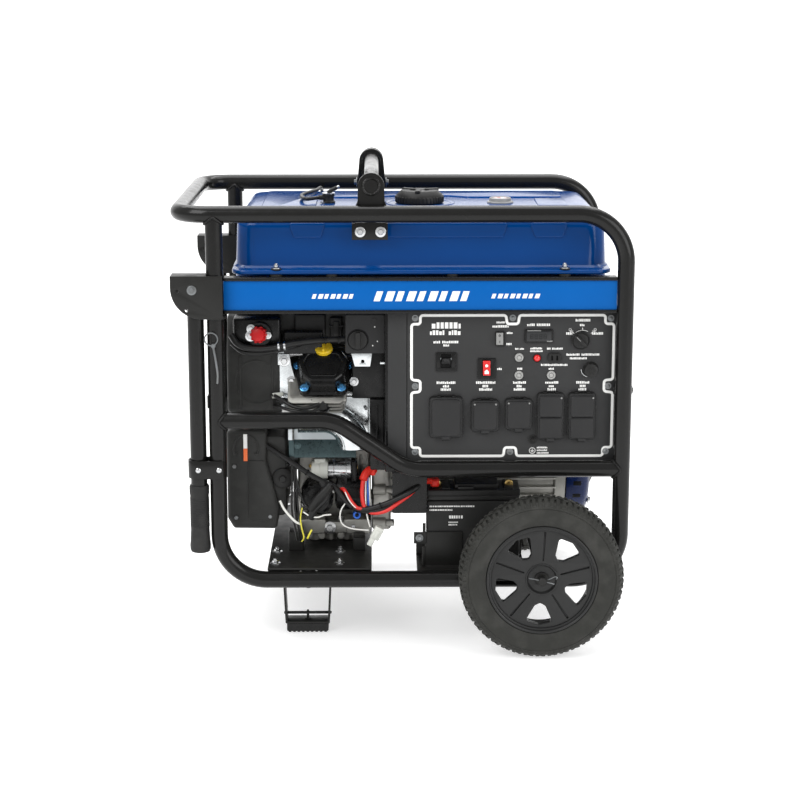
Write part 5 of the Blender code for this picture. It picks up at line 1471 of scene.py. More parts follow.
def make_alternator():
    """The ribbed barrel, the dark core seen through its slots, the blue end cover and its vents."""
    low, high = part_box("alternator_housing")
    left, right = low.x, high.x
    radius = 0.118
    shape = bmesh.new()
    lathe(shape, [(0.1080, left), (0.1140, left), (radius - 0.0010, left + 0.0020),
                  (radius - 0.0010, left + 0.0180),
                  (radius - 0.0050, left + 0.0220), (radius - 0.0050, right - 0.0260),
                  (radius - 0.0010, right - 0.0220),
                  (radius - 0.0010, right - 0.0020), (0.1140, right), (0.1080, right)], (0, 0, SHAFT_Z),
                  RIGHT, 96,
          closed=True)
    ribs = 36
    for i in range(ribs):
        turn = facing(RIGHT, (0, 0, SHAFT_Z)) @ Matrix.Rotation(2 * math.pi * i / ribs, 4, "Z")
        block(shape, (radius - 0.0070, -0.0018, left + 0.0150), (radius - 0.0004, 0.0018, right - 0.0200),
              0.0010, 2, turn)
    for i in range(4):
        turn = facing(RIGHT, (0, 0, SHAFT_Z)) @ Matrix.Rotation(math.pi / 4 + math.pi / 2 * i, 4, "Z")
        block(shape, (radius - 0.0080, -0.0100, left), (radius, 0.0100, left + 0.0200), 0.0030, 3, turn)
        bar(shape, (radius - 0.0060, 0, left + 0.0100), (radius - 0.0060, 0, right), 0.0050, 16, 0.001,
            place=turn)
    block(shape, (0.2800, -0.0380, DECK_Z - 0.001), (0.3300, 0.0380, SHAFT_Z - radius + 0.012), 0.003)
    block(shape, (-0.0580, -0.1500, 0.1900), (-0.0200, -0.0600, 0.3700), 0.0060)
    for z, reach in ((0.273, -0.030), (0.205, -0.026), (0.330, -0.034)):
        bar(shape, (-0.0300, -0.1500, z), (reach + 0.012, -0.1500, z), 0.0070, 20, 0.001)
        bar(shape, (-0.0560, -0.1500, z), (-0.0300, -0.1500, z), 0.0110, 20, 0.001)
    piece("alternator_barrel", shape, "casting", replaces=("alternator_housing",), angle=32)
    core = bmesh.new()
    lathe(core, [(0.0900, left + 0.030), (0.1085, left + 0.030), (0.1085, right - 0.030),
                 (0.0900, right - 0.030)],
          (0, 0, SHAFT_Z), RIGHT, 64, closed=True)
    piece("alternator_core", core, "steel")
    cover_low, cover_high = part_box("alternator_end_cover")
    start, end = cover_low.x, cover_high.x
    cover = bmesh.new()
    lathe(cover, [(0.1080, start), (radius - 0.0006, start), (radius, start + 0.0015), (radius, end - 0.0140),
                  (radius - 0.0030, end - 0.0080), (radius - 0.0100, end - 0.0020), (radius - 0.0200, end),
                  (0.0620, end), (0.0600, end - 0.0015), (0.0, end - 0.0015)], (0, 0, SHAFT_Z), RIGHT, 96)
    piece("alternator_cover", cover, "navy", replaces=("alternator_end_cover",), angle=32)
    vents = bmesh.new()
    for i in range(24):
        turn = facing(RIGHT, (0, 0, SHAFT_Z)) @ Matrix.Rotation(2 * math.pi * i / 24, 4, "Z")
        block(vents, (0.0680, -0.0028, end - 0.0020), (0.0940, 0.0028, end + 0.0003), 0.0010, 2, turn)
        block(vents, (radius - 0.0020, -0.0050, end - 0.0340), (radius + 0.0003, 0.0050, end - 0.0180),
              0.0008, 2, turn)
    for radius_of_ring in (0.018, 0.032, 0.046):
        lathe(vents, [(radius_of_ring, end - 0.003), (radius_of_ring + 0.005, end - 0.003),
                      (radius_of_ring + 0.005, end - 0.0009), (radius_of_ring, end - 0.0009)],
              (0, 0, SHAFT_Z), RIGHT, 56, closed=True)
    piece("alternator_cover_vents", vents, "dark", angle=32)
    bolts = bmesh.new()
    for i in range(4):
        turn = math.pi / 4 + math.pi / 2 * i
        hex_bolt(bolts, (end - 0.0010, 0.1040 * math.cos(turn), SHAFT_Z + 0.1040 * math.sin(turn)), RIGHT,
                 0.0100)
        hex_bolt(bolts, (left + 0.0005, 0.1110 * math.cos(turn), SHAFT_Z + 0.1110 * math.sin(turn)), -RIGHT,
                 0.0095)
    for z in (0.273, 0.205, 0.330):
        hex_bolt(bolts, (-0.0180, -0.1500, z), RIGHT, 0.0090)
    piece("alternator_bolts", bolts, "zinc")
    MATERIALS_FOR_CAD["rotor_shaft"] = "steel"


def make_muffler():
    """The silencer with its seams, slotted guard, straps and spark-arresting tail pipe."""
    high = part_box("muffler")[1]
    y, z = 0.195, 0.500
    left, right = -0.050, 0.250
    shape = bmesh.new()
    lathe(shape, [(0.0, left), (0.0480, left), (0.0570, left + 0.0060), (0.0590, left + 0.0120),
                  (0.0605, left + 0.0140),
                  (0.0605, left + 0.0190), (0.0590, left + 0.0210), (0.0590, right - 0.0210),
                  (0.0605, right - 0.0190),
                  (0.0605, right - 0.0140), (0.0590, right - 0.0120), (0.0570, right - 0.0060),
                  (0.0480, right),
                  (0.0, right)], (0, y, z), RIGHT, 64)
    bar(shape, (right - 0.010, y, z), (high.x - 0.002, y, z), 0.0160, 32, 0.001)
    lathe(shape, [(0.0140, high.x - 0.030), (0.0180, high.x - 0.028), (0.0180, high.x - 0.006),
                  (0.0165, high.x - 0.0005),
                  (0.0120, high.x - 0.0005), (0.0120, high.x - 0.030)], (0, y, z), RIGHT, 36, closed=True)
    sweep(shape, smooth_path([(0.0200, y, z - 0.01), (0.0200, 0.160, 0.480), (0.0100, 0.150, 0.470),
                              (-0.0300, 0.160, 0.462), (-0.0850, 0.175, 0.455)], 6), 0.0170, 20)
    for x in (0.020, 0.180):
        lathe(shape, [(0.0590, x - 0.009), (0.0612, x - 0.008), (0.0612, x + 0.008), (0.0590, x + 0.009)],
              (0, y, z), RIGHT, 64, closed=True)
    piece("silencer", shape, "silencer", replaces=("muffler",), angle=32)
    guard = bmesh.new()
    for i in range(11):
        x = left + 0.030 + 0.022 * i
        arc = [(x, y + 0.0665 * math.cos(math.radians(a)), z + 0.0665 * math.sin(math.radians(a)))
               for a in range(-70, 71, 7)]
        sweep(guard, arc, 0.0042, 8)
    for a in (-70, -35, 0, 35, 70):
        spot = (y + 0.0665 * math.cos(math.radians(a)), z + 0.0665 * math.sin(math.radians(a)))
        bar(guard, (left + 0.020, *spot), (right - 0.020, *spot), 0.0040, 10)
    piece("silencer_guard", guard, "frame", angle=40)


def make_battery():
    """The battery with its ribbed lid, terminals and plain marks, and the tray and strap that hold it."""
    low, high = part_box("battery")
    case_top = 0.290
    shape = bmesh.new()
    block(shape, (low.x, low.y, low.z), (high.x, high.y, case_top - 0.022), 0.0030)
    block(shape, (low.x + 0.0010, low.y + 0.0010, case_top - 0.0215),
          (high.x - 0.0010, high.y - 0.0010, case_top - 0.0110),
          0.0025)
    block(shape, (low.x - 0.0005, low.y - 0.0005, case_top - 0.0125),
          (high.x + 0.0005, high.y + 0.0005, case_top), 0.0025)
    for x in (low.x + 0.028, low.x + 0.150):
        block(shape, (x, low.y + 0.006, case_top - 0.002), (x + 0.018, high.y - 0.006, case_top + 0.0030),
              0.0015)
    block(shape, (low.x + 0.054, low.y + 0.010, case_top - 0.002),
          (low.x + 0.140, high.y - 0.010, case_top + 0.0100), 0.0030)
    block(shape, (low.x + 0.060, low.y + 0.004, case_top - 0.002),
          (low.x + 0.092, low.y + 0.030, case_top + 0.0060), 0.0020)
    piece("battery_case", shape, "plastic", replaces=("battery",), angle=32)
    posts = bmesh.new()
    for x in (low.x + 0.020, high.x - 0.020):
        block(posts, (x - 0.007, -0.189, case_top - 0.002), (x + 0.007, -0.174, case_top + 0.010), 0.0015)
        hex_bolt(posts, (x, -0.189, case_top + 0.0045), (0, -1, 0), 0.0095)
    piece("battery_posts", posts, "brass")
    marks = bmesh.new()
    face = low.y - 0.0003

    def line_of_dashes(left, right, z, height, count):
        """A row of plain bars, in the place of a line of print."""
        pitch = (right - left) / count
        dice = random.Random(count)
        for i in range(count):
            width = pitch * dice.uniform(0.55, 0.85)
            slab(marks, rectangle(left + pitch * i, left + pitch * i + width, z, z + height), face - 0.0002,
                 face + 0.0003,
                 "y")

    line_of_dashes(0.0545, 0.1420, 0.2560, 0.0028, 26)
    line_of_dashes(0.0545, 0.1000, 0.2485, 0.0030, 14)
    line_of_dashes(0.0925, 0.1200, 0.2330, 0.0058, 6)
    line_of_dashes(0.0915, 0.1110, 0.2240, 0.0024, 7)
    line_of_dashes(0.0915, 0.1090, 0.2190, 0.0024, 6)
    piece("battery_marks", marks, "white")
    tray_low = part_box("battery_tray")[0]
    floor_low = tray_low.z
    tray = bmesh.new()
    left, right = 0.0300, 0.2400
    block(tray, (left, -SIDE_Y + TUBE_R, floor_low), (right, -0.1360, low.z - 0.0004), 0.0006)
    block(tray, (left + 0.016, -0.2255, floor_low), (0.1180, low.y - 0.0004, 0.2070), 0.0010)
    block(tray, (left - 0.006, -0.2265, 0.1840), (left + 0.0190, -0.2225, 0.2070), 0.0010)
    block(tray, (left, high.y + 0.0004, floor_low), (right, -0.1395, 0.1720), 0.0010)
    block(tray, (left + 0.0100, -0.2262, floor_low + 0.004), (left + 0.0165, -0.2225, 0.1780), 0.0010)
    block(tray, (left + 0.0110, -0.2262, 0.1960), (left + 0.0165, -0.2225, 0.2250), 0.0010)
    block(tray, (left + 0.016, -0.2275, floor_low), (0.1200, low.y - 0.0004, floor_low + 0.0060), 0.0010)
    piece("battery_tray_steel", tray, "bracket", replaces=("battery_tray",))
    tab = bmesh.new()
    hex_bolt(tab, (left + 0.0050, -0.2265, 0.1955), (0, -1, 0), 0.0090)
    piece("tray_bolt", tab, "steel")


def make_regulator():
    """The red fuel regulator knob with its fittings, the hose to the selector and its clamps."""
    knob = bmesh.new()
    place = facing((-0.15, -1, 0.12), (-0.2690, -0.2350, 0.6000))
    lathe(knob, [(0.0, 0.0200), (0.0080, 0.0200), (0.0120, 0.0185), (0.0145, 0.0140), (0.0150, 0.0080),
                 (0.0142, 0.0020),
                 (0.0110, 0.0), (0.0, 0.0)], (0, 0, 0), UP, 40, place=place)
    for i in range(10):
        turn = place @ Matrix.Rotation(2 * math.pi * i / 10, 4, "Z")
        block(knob, (0.0125, -0.0022, 0.0015), (0.0162, 0.0022, 0.0160), 0.0012, 2, turn)
    piece("regulator_knob", knob, "red", angle=32)
    fittings = bmesh.new()
    bar(fittings, (-0.2690, -0.2020, 0.6000), (-0.2690, -0.2360, 0.6000), 0.0085, 24, 0.001)
    for x, z, reach in ((-0.2850, 0.6120, 0.010), (-0.2860, 0.5980, 0.012), (-0.2530, 0.5990, 0.008)):
        hex_bolt(fittings, (x, -0.2400, z), (0, -1, 0), reach)
        bar(fittings, (x, -0.2380, z), (x, -0.2100, z), 0.0030, 14)
    for x in (-0.2330, -0.2220):
        lathe(fittings, [(0.0076, -0.0018), (0.0084, -0.0018), (0.0084, 0.0018), (0.0076, 0.0018)],
              (x, -0.2380, 0.5785), (1, 0, 0.1), 30, closed=True)
    piece("regulator_fittings", fittings, "zinc")
    base = bmesh.new()
    block(base, (-0.3200, -0.2250, 0.5720), (-0.2300, -0.1700, 0.6300), 0.0060)
    lathe(base, [(0.0, 0.0), (0.0240, 0.0), (0.0240, 0.0100), (0.0220, 0.0120), (0.0, 0.0120)],
          (-0.2690, -0.2240, 0.6000), (0, -1, 0), 40)
    piece("regulator_body", base, "satin")
    hose = bmesh.new()
    route = [(-0.3235, -0.2320, 0.5990), (-0.3120, -0.2360, 0.5830), (-0.2920, -0.2385, 0.5745),
             (-0.2500, -0.2395, 0.5740),
             (-0.2030, -0.2380, 0.5830), (-0.1570, -0.2350, 0.5880), (-0.1080, -0.2280, 0.5890)]
    sweep(hose, smooth_path(route, 8), 0.0062, 20)
    piece("fuel_hose_rubber", hose, "cable", replaces=("fuel_hose",), angle=60)
    wire("fuel_hose_second", [(-0.3240, -0.2200, 0.5800), (-0.3000, -0.2340, 0.5650),
                              (-0.2650, -0.2370, 0.5640),
                              (-0.2300, -0.2300, 0.5690), (-0.1980, -0.2180, 0.5760),
                              (-0.1700, -0.1900, 0.5800)],
         0.0042, "cable")
    collars = bmesh.new()
    for x, z in ((-0.1500, 0.5884), (-0.1440, 0.5886), (-0.1180, 0.5890)):
        lathe(collars, [(0.0060, -0.0018), (0.0074, -0.0018), (0.0074, 0.0018), (0.0060, 0.0018)],
              (x, -0.2340, z), (1, 0.1, 0), 30, closed=True)
    piece("fuel_hose_collars", collars, "satin")


def make_dial():
    """The fuel selector: a soft-edged box, a knob with a grip bar and plain position dots."""
    low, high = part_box("fuel_dial_housing")
    shape = bmesh.new()
    path = rounded([(low.x, 0, low.z), (high.x, 0, low.z), (high.x, 0, high.z), (low.x, 0, high.z)], 0.005,
                   5, closed=True)
    slab(shape, [(p.x, p.z) for p in path], low.y, high.y, "y", 0.0030, segments=4)
    x, z = -0.083, 0.590
    lathe(shape, [(0.0185, -0.001), (0.0200, -0.001), (0.0206, 0.0002), (0.0200, 0.0012), (0.0190, 0.0008)],
          (x, low.y, z), (0, -1, 0), 48, closed=True)
    bar(shape, (-0.0520, low.y + 0.001, 0.6270), (-0.0520, low.y - 0.0010, 0.6270), 0.0055, 28, 0.0006)
    piece("dial_box", shape, "lid", replaces=("fuel_dial_housing",))
    knob = bmesh.new()
    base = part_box("fuel_dial_knob")[1].y
    lathe(knob, [(0.0, 0.0055), (0.0145, 0.0055), (0.0175, 0.0045), (0.0185, 0.0025), (0.0185, 0.0),
                 (0.0, 0.0)],
          (x, base, z), (0, -1, 0), 56)
    path = rounded([(x - 0.0048, 0, z - 0.0165), (x + 0.0048, 0, z - 0.0165), (x + 0.0048, 0, z + 0.0165),
                    (x - 0.0048, 0, z + 0.0165)], 0.0030, 4, closed=True)
    slab(knob, [(p.x, p.z) for p in path], base - 0.0138, base - 0.004, "y", 0.0014, segments=3)
    piece("dial_knob", knob, "plastic", "dial_knob", replaces=("fuel_dial_knob",))
    marks = bmesh.new()
    face = low.y - 0.0001
    for x, z in ((-0.0460, 0.5870), (-0.0550, 0.5790), (-0.0510, 0.6150)):
        bar(marks, (x, face, z), (x, face - 0.0003, z), 0.0012, 16)
    piece("dial_marks", marks, "white")


def make_wiring():
    """The looms, battery cables, plugs and connectors in front of the crankcase."""
    wire("main_loom", [(-0.2620, -0.1900, 0.3720), (-0.2400, -0.1980, 0.3600), (-0.2140, -0.2060, 0.3440),
                       (-0.1830, -0.2120, 0.3240), (-0.1540, -0.2160, 0.3080), (-0.1300, -0.2200, 0.2970),
                       (-0.1170, -0.2250, 0.2820), (-0.0950, -0.2280, 0.2590), (-0.0730, -0.2290, 0.2540),
                       (-0.0400, -0.2360, 0.2640), (-0.0050, -0.2400, 0.2800), (0.0240, -0.2380, 0.2960),
                       (0.0420, -0.2150, 0.3080)], 0.0052, "cable")
    wire("loom_branch", [(-0.1540, -0.2160, 0.3080), (-0.1420, -0.2230, 0.2920), (-0.1500, -0.2280, 0.2740),
                         (-0.1680, -0.2300, 0.2560), (-0.1760, -0.2240, 0.2360)], 0.0078, "cable")
    wire("loom_second", [(-0.1300, -0.2160, 0.2980), (-0.1080, -0.2180, 0.2760), (-0.0900, -0.2240, 0.2530),
                         (-0.0640, -0.2300, 0.2500), (-0.0350, -0.2340, 0.2570), (-0.0080, -0.2300, 0.2720)],
         0.0040, "cable")
    for i, x in enumerate((-0.2130, -0.2085, -0.2045)):
        wire(f"drop_wire_{i}", [(x, -0.2050, 0.3400), (x + 0.001, -0.2120, 0.3000),
                                (x + 0.002 * i, -0.2140, 0.2500),
                                (x + 0.006 + 0.002 * i, -0.2100, 0.2100), (x + 0.010, -0.2050, 0.1850)],
                                0.0021, "cable")
    wire("curled_wire", [(-0.2060, -0.2080, 0.3300), (-0.2000, -0.2140, 0.2950), (-0.1880, -0.2180, 0.2640),
                         (-0.1700, -0.2200, 0.2500), (-0.1500, -0.2180, 0.2460)], 0.0022, "cable")
    wire("starter_cable", [(-0.0660, -0.2120, 0.3280), (-0.0720, -0.2200, 0.3180), (-0.0760, -0.2250, 0.2960),
                           (-0.0750, -0.2260, 0.2700), (-0.0680, -0.2280, 0.2530), (-0.0520, -0.2320, 0.2480),
                           (-0.0300, -0.2350, 0.2530), (-0.0090, -0.2350, 0.2670), (0.0180, -0.2330, 0.2870),
                           (0.0400, -0.2150, 0.3030)], 0.0042, "cable_red")
    wire("red_loop", [(-0.1200, -0.2100, 0.2880), (-0.1130, -0.2200, 0.2930), (-0.1060, -0.2280, 0.2860),
                      (-0.0960, -0.2330, 0.2700), (-0.0860, -0.2330, 0.2590), (-0.0780, -0.2300, 0.2560)],
                      0.0036,
         "cable_red")
    wire("red_white_wire", [(-0.1090, -0.2320, 0.2900), (-0.1010, -0.2360, 0.2740),
                            (-0.0900, -0.2360, 0.2610),
                            (-0.0800, -0.2320, 0.2570)], 0.0012, "cable_white")
    wire("white_wire_a", [(-0.0690, -0.2180, 0.3160), (-0.0695, -0.2240, 0.2900), (-0.0690, -0.2250, 0.2560),
                          (-0.0650, -0.2260, 0.2320), (-0.0610, -0.2250, 0.2180)], 0.0015, "cable_white")
    wire("blue_wire", [(-0.0655, -0.2180, 0.3160), (-0.0650, -0.2230, 0.2900), (-0.0640, -0.2240, 0.2600)],
         0.0018, "cable_blue")
    wire("white_wire_b", [(-0.0625, -0.2180, 0.3150), (-0.0618, -0.2220, 0.2900), (-0.0612, -0.2220, 0.2600)],
         0.0015, "cable_white")
    wire("white_loop", [(-0.1090, -0.2240, 0.2650), (-0.1170, -0.2280, 0.2530), (-0.1190, -0.2290, 0.2370),
                        (-0.1140, -0.2280, 0.2240), (-0.1010, -0.2260, 0.2160), (-0.0820, -0.2250, 0.2125),
                        (-0.0640, -0.2240, 0.2110)], 0.0014, "cable_white")
    wire("solenoid_wire", [(-0.1430, -0.1950, 0.3020), (-0.1380, -0.2080, 0.2960), (-0.1330, -0.2150, 0.2900),
                           (-0.1320, -0.2160, 0.2840)], 0.0016, "cable_white")
    wire("ribbed_white", [(-0.2360, -0.2080, 0.2660), (-0.2280, -0.2160, 0.2520), (-0.2160, -0.2200, 0.2380),
                          (-0.2050, -0.2210, 0.2270), (-0.1960, -0.2180, 0.2220)], 0.0024, "cable_white")
    wire("white_run", [(-0.1900, -0.2240, 0.2480), (-0.1760, -0.2300, 0.2410), (-0.1620, -0.2300, 0.2390),
                       (-0.1500, -0.2260, 0.2420), (-0.1370, -0.2220, 0.2420)], 0.0016, "cable_white")
    wire("yellow_wire", [(-0.1925, -0.2160, 0.2540), (-0.1960, -0.2220, 0.2360), (-0.1940, -0.2230, 0.2160),
                         (-0.1900, -0.2200, 0.1960), (-0.1940, -0.2150, 0.1860)], 0.0014, "cable_yellow")
    wire("green_wire", [(-0.1745, -0.2160, 0.2100), (-0.1790, -0.2190, 0.2020), (-0.1830, -0.2180, 0.1930)],
         0.0019, "cable_yellow")
    boots = bmesh.new()
    sweep(boots, smooth_path([(-0.0520, -0.2080, 0.3240), (-0.0600, -0.2120, 0.3290),
                              (-0.0690, -0.2180, 0.3230),
                              (-0.0740, -0.2230, 0.3120)], 6), 0.0078, 16, round_ends=True)
    block(boots, (-0.0610, -0.2180, 0.3180), (-0.0500, -0.2000, 0.3360), 0.0035)
    sweep(boots, smooth_path([(0.0370, -0.2160, 0.3030), (0.0480, -0.2120, 0.3060),
                              (0.0580, -0.2050, 0.3040)], 5),
          0.0060, 16, round_ends=True)
    block(boots, (0.0560, -0.2120, 0.2930), (0.0740, -0.1900, 0.3090), 0.0050)
    piece("cable_boots", boots, "red_rubber", angle=40)
    sleeve = bmesh.new()
    sweep(sleeve, smooth_path([(-0.1380, -0.2280, 0.3000), (-0.1500, -0.2330, 0.2880),
                               (-0.1640, -0.2330, 0.2720),
                               (-0.1720, -0.2280, 0.2560)], 6), 0.0125, 20, round_ends=True, flat=0.7)
    piece("loom_sleeve", sleeve, "plastic", angle=60)
    plug = bmesh.new()
    lathe(plug, [(0.0042, -0.0060), (0.0072, -0.0060), (0.0078, 0.0), (0.0072, 0.0060), (0.0042, 0.0060)],
          (-0.0870, -0.2080, 0.2380), (0.1, -1, 0.1), 28, closed=True)
    piece("blue_plug", plug, "blue")
    shell = bmesh.new()
    turn = Matrix.Translation((-0.0500, -0.2250, 0.2010)) @ Matrix.Rotation(math.radians(28), 4, "Y")
    block(shell, (-0.0090, -0.0065, -0.0080), (0.0090, 0.0065, 0.0180), 0.0020, 3, turn)
    block(shell, (-0.0075, -0.0055, -0.0240), (0.0030, 0.0055, -0.0070), 0.0018, 3, turn)
    block(shell, (-0.0035, -0.0085, -0.0040), (0.0035, -0.0050, 0.0120), 0.0010, 2, turn)
    piece("white_connector", shell, "nylon")
    ties = bmesh.new()
    for x, y, z, dx, dz in ((-0.1830, -0.2120, 0.3240, 1, -0.6), (-0.0950, -0.2280, 0.2590, 1, -0.7),
                            (-0.0400, -0.2360, 0.2640, 1, 0.5)):
        lathe(ties, [(0.0052, -0.0014), (0.0064, -0.0014), (0.0064, 0.0014), (0.0052, 0.0014)],
              (x, y, z), (dx, 0, dz), 28, closed=True)
    piece("cable_ties", ties, "dark")


def make_cradles():
    """The pressed plates under the engine and the alternator, with their bolts and raised blocks."""
    low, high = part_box("engine_cradle")
    shape = bmesh.new()
    block(shape, (low.x, low.y, high.z - 0.005), (high.x, high.y, high.z), 0.0015)
    inner = SIDE_Y - TUBE_R
    cross_low, cross_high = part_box("frame_cross_left")
    for side in (-1, 1):
        near, far = sorted((side * inner, side * (inner - 0.004)))
        block(shape, (low.x, near, low.z), (cross_low.x - 0.001, far, high.z - 0.001), 0.0010)
        block(shape, (cross_high.x + 0.001, near, low.z), (high.x, far, high.z - 0.001), 0.0010)
        block(shape, (-0.2220, side * 0.150 - 0.020, high.z - 0.001),
              (-0.1930, side * 0.150 + 0.020, 0.1920), 0.0030)
        block(shape, (-0.0950, side * 0.150 - 0.020, high.z - 0.001),
              (-0.0700, side * 0.150 + 0.020, 0.1800), 0.0030)
    block(shape, (low.x, -inner, low.z), (low.x + 0.004, inner, high.z - 0.001), 0.0010)
    piece("engine_plate", shape, "bracket", replaces=("engine_cradle",))
    bolts = bmesh.new()
    for side in (-1, 1):
        for x in (-0.2440, -0.1200):
            for y in (side * 0.1750, side * 0.2520):
                hex_bolt(bolts, (x, y, high.z), UP, 0.0120)
                bar(bolts, (x, y, high.z + 0.004), (x, y, high.z + 0.0100), 0.0034, 14, 0.0008)
    piece("engine_plate_bolts", bolts, "zinc")
    low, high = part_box("alternator_cradle")
    shape = bmesh.new()
    deck = DECK_Z
    block(shape, (low.x, low.y, deck - 0.005), (high.x, high.y, deck), 0.0015)
    block(shape, (low.x + 0.0100, -0.0500, deck - 0.005), (low.x + 0.0350, 0.0500, high.z), 0.0030)
    block(shape, (low.x, low.y, low.z), (low.x + 0.004, high.y, deck - 0.001), 0.0010)
    piece("alternator_plate", shape, "bracket", replaces=("alternator_cradle",))


# --- Control panel -------------------------------------------------------------------------------

PANEL_LOW, PANEL_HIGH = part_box("control_panel")
FACE_Y = PANEL_LOW.y
SCREWS = [(0.0250, 0.6366), (0.2081, 0.6366), (0.3928, 0.6355), (0.0250, 0.5059), (0.3901, 0.5059),
          (0.0250, 0.3781), (0.2059, 0.3781), (0.3879, 0.3789)]


def dashes(shape, left, right, low, high, face, seed, gaps=()):
    """A row of small plain bars, in the place of a line of print. gaps are shares of the row left clear."""
    dice = random.Random(seed)
    unit = (high - low) * 0.62
    x = left
    while x < right - unit * 0.4:
        share = (x - left) / (right - left)
        width = min(unit * dice.uniform(0.55, 1.0), right - x)
        if not any(start < share < end for start, end in gaps):
            drop = (high - low) * (0.0 if dice.random() < 0.7 else 0.22)
            slab(shape, rectangle(x, x + width, low, high - drop), face - 0.0003, face + 0.0001, "y")
        x += width + unit * 0.30


def ribbon(shape, path, width, face, proud):
    """A flat band of print along a closed path of X and Z."""
    count = len(path)
    outer, inner = [], []
    for i, (x, z) in enumerate(path):
        ahead, back = Vector(path[(i + 1) % count]), Vector(path[i - 1])
        along = (ahead - back).normalized()
        across = Vector((-along.y, along.x)) * width / 2
        outer.append((x + across.x, z + across.y))
        inner.append((x - across.x, z - across.y))
    loft(shape, [[(x, face + 0.0001, z) for x, z in outer], [(x, face - proud, z) for x, z in outer],
                 [(x, face - proud, z) for x, z in inner], [(x, face + 0.0001, z) for x, z in inner],
                 [(x, face + 0.0001, z) for x, z in outer]], cap=False)


def border_path():
    """The white border: a rectangle that steps round every screw."""
    left, right, low, high = 0.0182, 0.3988, 0.3699, 0.6415
    corner = 0.0165
    notch = 0.0125
    middle_x = SCREWS[1][0]
    bottom_x = SCREWS[6][0]
    middle_z = SCREWS[3][1]
    points = [(left, high - corner), (left + corner, high - corner), (left + corner, high)]
    points += [(middle_x - notch, high), (middle_x - notch * 0.85, high - 0.0165),
               (middle_x + notch * 0.85, high - 0.0165),
               (middle_x + notch, high)]
    points += [(right - corner, high), (right - corner, high - corner), (right, high - corner)]
    points += [(right, middle_z + notch), (right - 0.0165, middle_z + notch * 0.85),
               (right - 0.0165, middle_z - notch * 0.85), (right, middle_z - notch)]
    points += [(right, low + corner), (right - corner, low + corner), (right - corner, low)]
    points += [(bottom_x + notch, low), (bottom_x + notch * 0.85, low + 0.0165),
               (bottom_x - notch * 0.85, low + 0.0165),
               (bottom_x - notch, low)]
    points += [(left + corner, low), (left + corner, low + corner), (left, low + corner)]
    points += [(left, middle_z - notch), (left + 0.0165, middle_z - notch * 0.85),
               (left + 0.0165, middle_z + notch * 0.85), (left, middle_z + notch)]
    path = rounded([(x, 0, z) for x, z in points], 0.0052, 5, closed=True)
    return [(p.x, p.z) for p in path]


